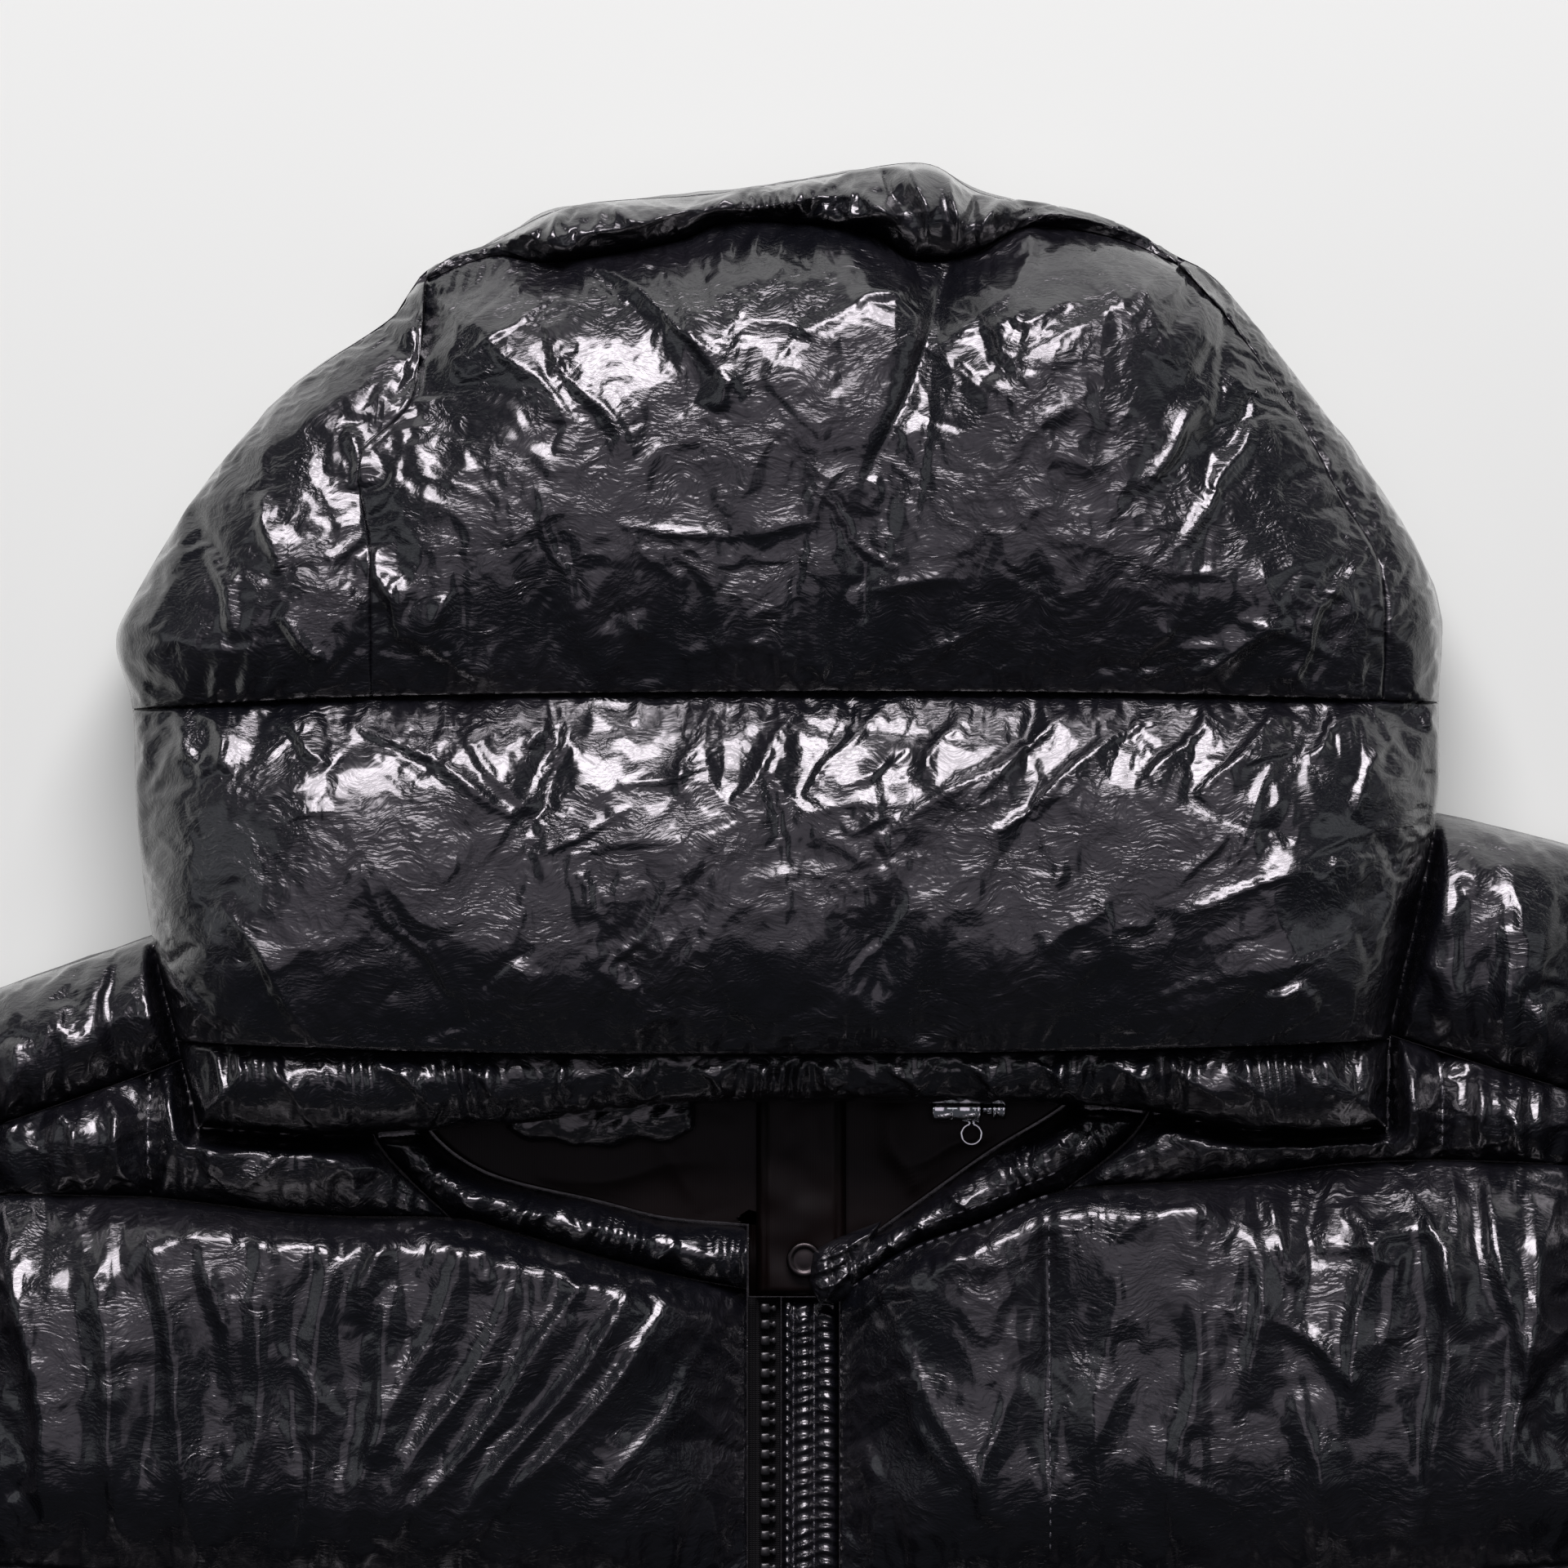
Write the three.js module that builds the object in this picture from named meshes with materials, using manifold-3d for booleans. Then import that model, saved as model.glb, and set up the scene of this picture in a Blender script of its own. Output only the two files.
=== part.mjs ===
import * as THREE from 'three';
import { mergeVertices } from 'three/addons/utils/BufferGeometryUtils.js';
import Module from 'manifold-3d';

// A hooded down jacket laid flat on its back, in millimetres. The hood is folded forward over the
// shoulders. X runs to the right and Y from the hem to the hood, seen from above, and Z is up.
// Left and right are as seen, not as worn.
const SEAM_GAP = 0.3;
const HALF_GAP = SEAM_GAP / 2;
const ARMHOLE_GAP = 1;
const BACK_LOFT = 24;
const PANEL_BASE = BACK_LOFT + SEAM_GAP;
const FRONT_LOFT = 37;
const YOKE_LOFT = 27;
const SLEEVE_LOFT = 40;
const COLLAR_LOFT = 19;
const HOOD_PLANE = 38;
const HOOD_BASE = HOOD_PLANE + SEAM_GAP;
const HOOD_LOFT = 45;
const EDGE_RIM = 2.5;

// The garment: chest and hem half widths, hem line, underarm, and the end of each shoulder.
const CHEST_HALF = 281;
const HEM_HALF = 270;
const HEM_Y = -700;
const UNDERARM = { x: 275, y: -330 };
const ARMHOLE_X = 236;
const SHOULDER_END = { left: -63.4, right: -20 };
const SLEEVE_ANGLE = 20;
const SLEEVE_LENGTH = 620;
const CUFF_WIDTH = 110;
const BAFFLE_PITCH = 108;

// The front opening: zip tape, ruched placket, chin guard and snap.
const ZIP = { left: -9.5, right: 0.2, thickness: 2.7 };
const PLACKET = { left: 0.5, right: 17.5, thickness: 8 };
const GUARD = { left: -7, right: 19.6, top: -88, bottom: -151.5, thickness: 6.7 };
const LINING_THICKNESS = 2.7;
const OPENING_TOP = -152;
const SNAP = { x: 7.2, y: -140.4, radius: 5.3, height: 2.6, post: 2.2 };

// The slider waits at the foot of the zip, with its tab lying on the teeth.
const SLIDER = { x: -4.4, y: -684, width: 7.8, length: 11, height: 5.5, hinge: 2.5 };
const SLIDER_EAR = { inner: 2.1, outer: 3.3, radius: 1.7, rise: 2.2, pin: 0.8 };
const PULL = { half: 1.8, eye: 1.8, hole: 1.15, length: 21, thickness: 1.4, tip: 5.2, droop: 11.8 };

// The metal cord lock under the brim: a barrel, a spring plunger and a small ring.
const LOCK = { x: 44.9, y: -95.9, radius: 3.95, length: 13.2, flange: 4.15, flangeWidth: 1.1 };
const PLUNGER = { stem: 1.95, inside: 2.5, neck: 3.6, knob: 3.3, knobLength: 4 };
const BORE = { radius: 2.25, depth: 7.5 };
const LOCK_RING = { x: 56.6, radius: 2.95, wire: 0.4 };

// A row for each place where the hood's outline turns, from the left end of the brim over the top.
const HOOD_OUTLINE = [
  [-171.5, -101], [-177.6, -76], [-184.8, -45.6], [-189.6, -9.6], [-190.6, 22], [-195.6, 40.8],
  [-190.8, 54], [-169.2, 88.8], [-142.8, 117.6], [-114, 138], [-104.4, 151.2], [-85.2, 159.6],
  [-61.2, 170.4], [-20.4, 174], [10.8, 178.8], [42, 183.1], [60, 174], [92.4, 167.5],
  [116.4, 156], [130.8, 146.4], [159.6, 110.4], [183.6, 76.8], [194.4, 50.4], [194, 24],
  [193.7, -7.2], [186, -45.6], [179.5, -75], [179, -101],
];
const BRIM_EDGE = [
  [-171.5, -101], [-130, -103.5], [-78, -100], [-30, -94.5], [40, -94], [100, -95.5],
  [140, -102], [179, -101],
];
const BRIM_SEAM = [[-177.3, -75.5], [-90, -78.5], [0, -79], [90, -78], [179.5, -75]];
const SEAM_B = [[-190.6, 22], [-120, 25.5], [0, 27], [100, 26.5], [194, 24]];
const SEAM_A = [
  [-104, 148], [-85, 155], [-66, 153], [-31, 159], [-13, 165], [23, 162], [39, 153.5],
  [56, 155], [74, 163.5], [100, 160], [117, 152.5],
];
const SIDE_SEAM_LEFT = [[-119.7, 25.6], [-119.5, 67], [-122.5, 95], [-107.5, 113], [-104, 148]];
const SIDE_SEAM_RIGHT = [[176.4, 24.6], [176, 62], [164, 84], [152, 107], [134, 133], [117, 152.5]];

// Upper edge of the back: left shoulder, neckline, right shoulder.
const BACK_TOP = [
  [-236, -63.4], [-185, -46], [-96, -14], [-50, -31], [0, -38], [52, -28], [102, 4],
  [194, -10], [236, -20],
];
const SHOULDER_SEAM_LEFT = [[-234.4, -101.9], [-186, -85], [-114, -56]];
const SHOULDER_SEAM_RIGHT = [[114, -52], [195, -79], [234.4, -90.7]];

// The first stitched line of each front runs on as the lower edge of the collar band. The band leaves
// it at a corner and goes up round the neck, under the hood, to the shoulder seam.
const YOKE_LINE_LEFT = [[-234.4, -121], [-186, -122], [-140, -127]];
const CORNER_LEFT = [-97, -128.2];
const BAND_LINE_LEFT = [[-81, -131.7], [-53, -139.6], [-30.5, -145.1], [-9.8, -149]];
const NECK_LEFT = [[-113, -56], [-124, -80], [-119, -105]];
const OPENING_LEFT = [
  [-100, -48], [-110, -75], [-107, -98], [-88, -114.7], [-53, -123.8], [-33.6, -128.6],
  [-9.8, -130.5],
];
const YOKE_LINE_RIGHT = [[128, -116.6], [166, -112], [198, -111], [234.4, -112.3]];
const CORNER_RIGHT = [84, -119.8];
const BAND_LINE_RIGHT = [[21, -148.5], [40, -136.5], [60, -129]];
const NECK_RIGHT = [[113, -52], [117, -75], [106, -101]];
const OPENING_RIGHT = [[98, -44], [100, -70], [88, -92], [62, -109], [38, -126], [20, -139]];

// Folds that show from a step away: a ridge or a trough from one point to another.
const table = (columns, rows) => rows.map(
  (row) => Object.fromEntries(columns.map((name, i) => [name, row[i]])),
);
const FOLD_COLUMNS = ['x1', 'y1', 'x2', 'y2', 'width', 'rise'];
const HOOD_FOLDS = table(FOLD_COLUMNS, [
  [-62, 152, -20, 122, 11, 6],
  [50, 150, 26, 88, 10, -7],
  [74, 160, 112, 96, 13, 5],
  [-104, 118, -50, 84, 14, 5],
  [-150, 92, -142, 40, 13, 5],
  [-116, 62, -66, 34, 14, 5],
  [108, 34, 150, 62, 12, 5],
  [60, -6, 128, 14, 11, 5],
  [-150, -30, -132, -72, 12, 5],
  [96, -30, 168, -6, 12, 5],
  [78, -62, 150, -34, 12, 5],
  [-20, -34, 62, -22, 16, -4],
]);
const FRONT_FOLDS = table(FOLD_COLUMNS, [
  [-205, -128, -198, -196, 9, 6],
  [-176, -130, -186, -190, 9, 6],
  [-150, -132, -156, -182, 9, 5],
  [-118, -136, -128, -184, 9, 5],
  [-27, -151, -62, -190, 9, 6],
  [-52, -147, -90, -190, 9, 6],
  [-76, -140, -112, -190, 9, 5],
  [40, -146, 30, -190, 10, 5],
  [118, -124, 122, -190, 10, 6],
  [150, -120, 146, -180, 10, 6],
  [182, -118, 188, -190, 9, 6],
  [210, -120, 208, -184, 9, 5],
]);

const vec = (x, y) => new THREE.Vector2(x, y);
const { clamp, lerp, degToRad, smoothstep } = THREE.MathUtils;

// A line is a function from 0 to 1 along it. One bends smoothly through its rows, one turns at them.
function smooth(rows) {
  const curve = new THREE.SplineCurve(rows.map(([x, y]) => vec(x, y)));
  curve.arcLengthDivisions = 400;
  return (s) => curve.getPointAt(clamp(s, 0, 1));
}

function straight(rows) {
  const path = new THREE.CurvePath();
  for (let i = 1; i < rows.length; i += 1) {
    path.add(new THREE.LineCurve(vec(...rows[i - 1]), vec(...rows[i])));
  }
  return (s) => path.getPoint(clamp(s, 0, 1)).clone();
}

const reversed = (line) => (s) => line(1 - s);
const mirrored = (line) => (s) => {
  const p = line(s);
  return vec(-p.x, p.y);
};

// Two lines end to end, the first taking the given share.
const joined = (first, second, share) => (s) => (
  s < share ? first(s / share) : second((s - share) / (1 - share))
);

// The line moved sideways, to the left of its run.
const aside = (line, distance) => (s) => {
  const run = line(Math.min(s + 0.002, 1)).sub(line(Math.max(s - 0.002, 0))).normalize();
  return line(s).add(vec(-run.y, run.x).multiplyScalar(distance));
};

// The part of a smooth line between two shares of its length.
const stretch = (line, from, to) => (s) => line(lerp(from, to, s));

// The surface between four lines: bottom and top run along u, left and right along v.
function patch({ bottom, top, left, right }) {
  return (u, v) => bottom(u).multiplyScalar(1 - v)
    .addScaledVector(top(u), v)
    .addScaledVector(left(v), 1 - u)
    .addScaledVector(right(v), u)
    .addScaledVector(bottom(0), -(1 - u) * (1 - v))
    .addScaledVector(bottom(1), -u * (1 - v))
    .addScaledVector(top(0), -(1 - u) * v)
    .addScaledVector(top(1), -u * v);
}

// Steps from 0 to 1. Rounded steps crowd to the ends, where the loft falls away.
const even = (count) => Array.from({ length: count + 1 }, (_, i) => i / count);
const crowded = (count, amount = 0.55) => even(count).map(
  (s) => lerp(s, (1 - Math.cos(Math.PI * s)) / 2, amount),
);

// A closed pad over a patch: the outer surface, the rings of its wall and a flat underside. A pad
// with a level instead of a height has a flat top. Each ring has an inset along u and along v, as a
// share of the patch, and a height.
function pad({ plan, height, level, us, vs, rings, capStep = 4 }) {
  const positions = [];
  const indices = [];
  const nu = us.length - 1;
  const nv = vs.length - 1;
  const rim = [];
  for (let i = 0; i < nu; i += 1) rim.push([i, 0]);
  for (let j = 0; j < nv; j += 1) rim.push([nu, j]);
  for (let i = nu; i > 0; i -= 1) rim.push([i, nv]);
  for (let j = nv; j > 0; j -= 1) rim.push([0, j]);
  const shrink = (s, inset) => 0.5 + (s - 0.5) * (1 - 2 * inset);
  const place = (u, v, ring) => {
    const p = plan(shrink(u, ring.insetU ?? 0), shrink(v, ring.insetV ?? 0));
    positions.push(p.x, p.y, ring.z);
    return positions.length / 3 - 1;
  };
  const marks = (n) => {
    const cells = Math.max(1, Math.round(n / capStep));
    return Array.from({ length: cells + 1 }, (_, k) => Math.round((k * n) / cells));
  };

  // A flat face inside a ring, in coarse cells that keep every point of the ring.
  function fill(loop, ring, facesUp) {
    const known = new Map(rim.map(([i, j], k) => [`${i},${j}`, loop[k]]));
    const at = (i, j) => {
      const key = `${i},${j}`;
      if (!known.has(key)) known.set(key, place(us[i], vs[j], ring));
      return known.get(key);
    };
    const mu = marks(nu);
    const mv = marks(nv);
    for (let b = 1; b < mv.length; b += 1) {
      for (let a = 1; a < mu.length; a += 1) {
        const [i0, i1, j0, j1] = [mu[a - 1], mu[a], mv[b - 1], mv[b]];
        const edge = [];
        for (let i = i0; i < i1; i += j0 === 0 ? 1 : i1 - i0) edge.push(at(i, j0));
        for (let j = j0; j < j1; j += i1 === nu ? 1 : j1 - j0) edge.push(at(i1, j));
        for (let i = i1; i > i0; i -= j1 === nv ? 1 : i1 - i0) edge.push(at(i, j1));
        for (let j = j1; j > j0; j -= i0 === 0 ? 1 : j1 - j0) edge.push(at(i0, j));
        const hub = place((us[i0] + us[i1]) / 2, (vs[j0] + vs[j1]) / 2, ring);
        edge.forEach((point, k) => {
          const next = edge[(k + 1) % edge.length];
          indices.push(...(facesUp ? [hub, point, next] : [hub, next, point]));
        });
      }
    }
  }

  let loop;
  if (level === undefined) {
    const grid = (i, j) => j * (nu + 1) + i;
    for (const v of vs) {
      for (const u of us) {
        const p = plan(u, v);
        positions.push(p.x, p.y, height(p, u, v));
      }
    }
    for (let j = 0; j < nv; j += 1) {
      for (let i = 0; i < nu; i += 1) {
        indices.push(grid(i, j), grid(i + 1, j), grid(i + 1, j + 1));
        indices.push(grid(i, j), grid(i + 1, j + 1), grid(i, j + 1));
      }
    }
    loop = rim.map(([i, j]) => grid(i, j));
  } else {
    loop = rim.map(([i, j]) => place(us[i], vs[j], { z: level }));
    fill(loop, { z: level }, true);
  }
  for (const ring of rings) {
    const next = rim.map(([i, j]) => place(us[i], vs[j], ring));
    for (let k = 0; k < rim.length; k += 1) {
      const n = (k + 1) % rim.length;
      indices.push(next[k], next[n], loop[n], next[k], loop[n], loop[k]);
    }
    loop = next;
  }
  fill(loop, rings[rings.length - 1], false);
  const geometry = new THREE.BufferGeometry();
  geometry.setAttribute('position', new THREE.Float32BufferAttribute(positions, 3));
  geometry.setIndex(indices);
  return geometry;
}

// Loft: how far cloth rises within its reach of an edge, and how deep a stitched seam holds it.
const rounded = (distance, reach) => Math.sqrt(1 - (1 - clamp(distance / reach, 0, 1)) ** 2);
const held = (distance, depth, reach) => 1 - depth * (1 - rounded(distance, reach));

// Gathers: small waves that start at a seam and die out away from it.
function gathers(distance, along, pitch, rise, reach = 26) {
  const swell = Math.min(distance / 5, 1) * Math.exp(-distance / reach);
  return rise * swell * Math.sin((2 * Math.PI * along) / pitch + Math.sin(along / 37));
}

function foldRise(folds, p) {
  let rise = 0;
  for (const fold of folds) {
    const run = vec(fold.x2 - fold.x1, fold.y2 - fold.y1);
    const from = vec(p.x - fold.x1, p.y - fold.y1);
    const s = clamp(from.dot(run) / run.lengthSq(), 0, 1);
    const off = from.addScaledVector(run, -s).length();
    rise += fold.rise * Math.exp(-((off / fold.width) ** 2)) * Math.sin(Math.PI * lerp(0.12, 0.94, s));
  }
  return rise;
}

// Distance inside a closed outline, negative outside.
function insetOf(outline, p) {
  let nearest = Infinity;
  let inside = false;
  outline.forEach((a, k) => {
    const b = outline[(k + 1) % outline.length];
    const run = vec(b.x - a.x, b.y - a.y);
    const from = vec(p.x - a.x, p.y - a.y);
    const s = clamp(from.dot(run) / run.lengthSq(), 0, 1);
    nearest = Math.min(nearest, from.addScaledVector(run, -s).length());
    const crosses = a.y > p.y !== b.y > p.y;
    if (crosses && p.x < ((b.x - a.x) * (p.y - a.y)) / (b.y - a.y) + a.x) inside = !inside;
  });
  return inside ? nearest : -nearest;
}

const hoodOutline = [
  ...even(90).map(smooth(HOOD_OUTLINE)),
  ...even(30).slice(1, -1).map(reversed(smooth(BRIM_EDGE))),
];

// The height that what lies under the hood may reach at a point, and how far that starts outside it.
const HOOD_CLEAR = 13;
const underHood = (p) => HOOD_PLANE + 1.3 * Math.max(0, -insetOf(hoodOutline, p) - HOOD_CLEAR);

const wasm = await Module();
wasm.setup();

function toManifold(geometry) {
  const shape = geometry.clone();
  shape.deleteAttribute('normal');
  shape.deleteAttribute('uv');
  const merged = mergeVertices(shape, 1e-4);
  return new wasm.Manifold(new wasm.Mesh({
    numProp: 3,
    vertProperties: Float32Array.from(merged.attributes.position.array),
    triVerts: Uint32Array.from(merged.index.array),
  }));
}

function fromManifold(manifold) {
  const mesh = manifold.getMesh();
  const geometry = new THREE.BufferGeometry();
  geometry.setAttribute('position', new THREE.BufferAttribute(mesh.vertProperties, 3));
  geometry.setIndex(new THREE.BufferAttribute(mesh.triVerts, 1));
  return geometry;
}

const fused = (...geometries) => fromManifold(
  geometries.map(toManifold).reduce((whole, next) => whole.add(next)),
);

const nylon = () => new THREE.MeshStandardMaterial({ color: 0x14151a, roughness: 0.28, metalness: 0 });
const liningCloth = () => new THREE.MeshStandardMaterial({ color: 0x1b1412, roughness: 0.5, metalness: 0 });
const zipCloth = () => new THREE.MeshStandardMaterial({ color: 0x0d0d10, roughness: 0.8, metalness: 0 });
const darkMetal = () => new THREE.MeshStandardMaterial({ color: 0x303236, roughness: 0.3, metalness: 1 });
const chrome = () => new THREE.MeshStandardMaterial({ color: 0xd8dade, roughness: 0.1, metalness: 1 });

const garment = new THREE.Group();

function add(name, geometry, material) {
  const mesh = new THREE.Mesh(geometry, material);
  mesh.name = name;
  garment.add(mesh);
  return mesh;
}

// The side of the body: side seam from the hem to the underarm, then the armhole to the shoulder.
const armholeLeft = smooth([
  [-UNDERARM.x, UNDERARM.y], [-252, -285], [-239, -205], [-235, -125], [-ARMHOLE_X, SHOULDER_END.left],
]);
const armholeRight = smooth([
  [UNDERARM.x, UNDERARM.y], [252, -283], [239, -195], [235, -105], [ARMHOLE_X, SHOULDER_END.right],
]);
const sideSeamLeft = smooth([
  [-HEM_HALF, HEM_Y], [-277, -640], [-CHEST_HALF, -500], [-279.5, -400], [-UNDERARM.x, UNDERARM.y],
]);
const SIDE_SHARE = 0.575;
const bodyLeft = joined(sideSeamLeft, armholeLeft, SIDE_SHARE);
const bodyRight = joined(mirrored(sideSeamLeft), armholeRight, SIDE_SHARE);
const hem = smooth([
  [-HEM_HALF, HEM_Y], [-140, HEM_Y - 3], [0, HEM_Y - 2], [140, HEM_Y - 3], [HEM_HALF, HEM_Y],
]);
const backTop = smooth(BACK_TOP);

// Wall of a piece that lies on the table: it turns under and meets the table inside its outline.
const turnedUnder = (loft, width, length) => [
  { inset: 1.2, z: loft * 0.45 },
  { inset: 5, z: loft * 0.14 },
  { inset: 11, z: 0 },
].map(({ inset, z }) => ({ insetU: inset / width, insetV: inset / length, z }));

// Share of a line at which it comes nearest to a point.
function shareNear(line, x, y) {
  const off = (s) => line(s).distanceTo(vec(x, y));
  return even(400).reduce((best, s) => (off(s) < off(best) ? s : best), 0);
}

const firstLine = {
  left: smooth([...YOKE_LINE_LEFT, CORNER_LEFT, ...BAND_LINE_LEFT]),
  right: smooth([...BAND_LINE_RIGHT, CORNER_RIGHT, ...YOKE_LINE_RIGHT]),
};
const cornerShare = {
  left: shareNear(firstLine.left, ...CORNER_LEFT),
  right: shareNear(firstLine.right, ...CORNER_RIGHT),
};
const neckLine = {
  left: smooth([...NECK_LEFT, firstLine.left(cornerShare.left).toArray()]),
  right: smooth([...NECK_RIGHT, firstLine.right(cornerShare.right).toArray()]),
};

// Back panel, with the padded edge that wraps forward over each shoulder to the shoulder seam.
function shoulderWrap(seam, top, leftEnd, rightEnd) {
  const bottom = aside(smooth(seam), HALF_GAP);
  const topLine = aside(top, -0.6);
  const plan = patch({
    bottom,
    top: topLine,
    left: straight([bottom(0).toArray(), topLine(0).toArray()]),
    right: straight([bottom(1).toArray(), topLine(1).toArray()]),
  });
  return pad({
    plan,
    height: (p, u, v) => {
      const depth = plan(u, 1).distanceTo(plan(u, 0));
      const wide = plan(1, v).distanceTo(plan(0, v));
      const ends = held(u * wide, leftEnd, 24) * held((1 - u) * wide, rightEnd, 24);
      const loft = 31 * rounded((1 - v) * depth, 34) * held(v * depth, 0.55, 24) * ends;
      return Math.min(BACK_LOFT + 1.5 + loft + gathers(v * depth, p.x, 24, 2), underHood(p));
    },
    us: even(11),
    vs: crowded(6),
    rings: [{ z: BACK_LOFT - 3 }],
  });
}

function backPanel() {
  const plan = patch({
    bottom: aside(hem, 0),
    top: aside(backTop, -HALF_GAP),
    left: aside(bodyLeft, -HALF_GAP),
    right: aside(bodyRight, HALF_GAP),
  });
  const body = pad({
    plan,
    level: BACK_LOFT,
    us: even(18),
    vs: even(25),
    rings: turnedUnder(BACK_LOFT, 2 * CHEST_HALF, 640),
    capStep: 7,
  });
  const leftNeck = shareNear(backTop, -100, -16);
  const rightNeck = shareNear(backTop, 106, 3);
  const left = shoulderWrap(SHOULDER_SEAM_LEFT, stretch(backTop, 0, leftNeck), 0.45, 0);
  const right = shoulderWrap(SHOULDER_SEAM_RIGHT, stretch(backTop, rightNeck, 1), 0, 0.45);
  return fused(body, left, right);
}
add('back', backPanel(), nylon());

// Fronts: channels of down between stitched lines, from the hem up to the yoke line.
const FRONT_WIDTH = 268;
const YOKE_PITCH = 22;
const SEAM_LEVELS = table(['side', 'centre', 'gathers'], [
  [-660, -662, 8],
  [-554, -556, 8],
  [-446, -449, 8],
  [-338, -342, 8],
  [-230, -236, 8],
]);

function frontPanel(side) {
  const sign = side === 'left' ? -1 : 1;
  const edge = side === 'left' ? bodyLeft : bodyRight;
  const centreX = side === 'left' ? ZIP.left - SEAM_GAP : PLACKET.right + SEAM_GAP;
  const outerAt = (y) => {
    const off = (s) => Math.abs(edge(s).y - y);
    const nearest = even(600).reduce((best, s) => (off(s) < off(best) ? s : best), 0);
    return edge(nearest).x - sign * 5 * HALF_GAP;
  };
  const level = (row) => {
    const outer = [outerAt(row.side), row.side];
    const middle = [(outer[0] + centreX) / 2, (row.side + row.centre) / 2 - 4];
    const centre = [centreX, row.centre];
    return smooth(side === 'left' ? [outer, middle, centre] : [centre, middle, outer]);
  };
  const hemLine = smooth([[outerAt(HEM_Y), HEM_Y], [sign * 140, HEM_Y - 3], [centreX, HEM_Y - 1.8]]);
  const lines = [
    side === 'left' ? hemLine : reversed(hemLine),
    ...SEAM_LEVELS.map(level),
    aside(firstLine[side], -HALF_GAP - 0.1),
  ];
  const outerEdge = (from, to) => {
    const outline = even(8).map((k) => {
      const y = lerp(from.y, to.y, k);
      return [outerAt(y), y];
    });
    outline[0] = from.toArray();
    outline[8] = to.toArray();
    return straight(outline);
  };
  const bands = lines.slice(1).map((top, k) => {
    const bottom = lines[k];
    const outer = side === 'left' ? 0 : 1;
    const outerLine = outerEdge(bottom(outer), top(outer));
    const centreLine = straight([bottom(1 - outer).toArray(), top(1 - outer).toArray()]);
    return patch({
      bottom,
      top,
      left: side === 'left' ? outerLine : centreLine,
      right: side === 'left' ? centreLine : outerLine,
    });
  });
  const count = bands.length;
  const plan = (u, v) => {
    const k = Math.min(Math.floor(v * count), count - 1);
    return bands[k](u, v * count - k);
  };
  const height = (p, u, v) => {
    const k = Math.min(Math.floor(v * count + 1e-9), count - 1);
    const t = v * count - k;
    const bandHeight = bands[k](u, 1).distanceTo(bands[k](u, 0));
    const fromOuter = (side === 'left' ? u : 1 - u) * FRONT_WIDTH;
    const fromCentre = FRONT_WIDTH - fromOuter;
    const below = t * bandHeight;
    const above = (1 - t) * bandHeight;
    const outerDepth = lerp(1, 0.45, smoothstep(p.y, UNDERARM.y - 20, UNDERARM.y + 30));
    const hold = held(below, k === 0 ? 1 : 0.52, k === 0 ? 20 : 36) * held(above, 0.52, 36)
      * held(fromOuter, outerDepth, 46) * held(fromCentre, 0.8, 34);
    const near = Math.min(below, above);
    const pitch = FRONT_WIDTH / SEAM_LEVELS[Math.min(k, SEAM_LEVELS.length - 1)].gathers;
    const atYoke = k === count - 1 && above < below;
    const waves = gathers(near, fromOuter, atYoke ? YOKE_PITCH : pitch, 2.4) * held(fromOuter, 1, 30);
    const z = PANEL_BASE + EDGE_RIM + FRONT_LOFT * hold + waves + foldRise(FRONT_FOLDS, p) * hold;
    return Math.max(PANEL_BASE + 1.5, Math.min(z, underHood(p)));
  };
  const vs = [];
  bands.forEach((_, k) => {
    const steps = crowded(k === 0 ? 3 : 5);
    steps.slice(k === 0 ? 0 : 1).forEach((t) => vs.push((k + t) / count));
  });
  return pad({ plan, height, us: crowded(20, 0.35), vs, rings: [{ z: PANEL_BASE }], capStep: 6 });
}
add('front_left', frontPanel('left'), nylon());
add('front_right', frontPanel('right'), nylon());

// Yokes between the shoulder seam and the first stitched line, each pieced by a short upright seam.
function yoke(side) {
  const left = side === 'left';
  const corner = cornerShare[side];
  const bottom = aside(stretch(firstLine[side], left ? 0 : corner, left ? corner : 1), 2 * HALF_GAP);
  const top = aside(smooth(left ? SHOULDER_SEAM_LEFT : SHOULDER_SEAM_RIGHT), -HALF_GAP);
  const neck = aside(reversed(stretch(neckLine[side], 0, 0.988)), left ? 3 * HALF_GAP : -3 * HALF_GAP);
  const armhole = straight([bottom(left ? 0 : 1).toArray(), top(left ? 0 : 1).toArray()]);
  const plan = patch({
    bottom: trimmed(bottom, left ? armhole(0) : neck(0), left ? neck(0) : armhole(0)),
    top: trimmed(top, left ? armhole(1) : neck(1), left ? neck(1) : armhole(1)),
    left: left ? armhole : neck,
    right: left ? neck : armhole,
  });
  const pieceSeam = left ? -186 : 195;
  return pad({
    plan,
    height: (p, u, v) => {
      const tall = plan(u, 1).distanceTo(plan(u, 0));
      const below = v * tall;
      const above = (1 - v) * tall;
      const wide = plan(1, v).distanceTo(plan(0, v));
      const fromArm = (left ? u : 1 - u) * wide;
      const loft = YOKE_LOFT * held(below, 0.45, 20) * held(above, 0.4, 20) * held(fromArm, 0.5, 24)
        * held(wide - fromArm, 0.4, 20) * held(Math.abs(p.x - pieceSeam), 0.35, 12);
      return Math.min(PANEL_BASE + EDGE_RIM + loft + gathers(below, p.x, 22, 2), underHood(p));
    },
    us: even(14),
    vs: crowded(8, 0.3),
    rings: [{ z: PANEL_BASE }],
  });
}

// A line with its two ends moved to new places.
function trimmed(line, start, end) {
  const a = start.clone().sub(line(0));
  const b = end.clone().sub(line(1));
  return (s) => line(s).addScaledVector(a, (1 - s) ** 4).addScaledVector(b, s ** 4);
}
add('yoke_left', yoke('left'), nylon());
add('yoke_right', yoke('right'), nylon());

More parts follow.
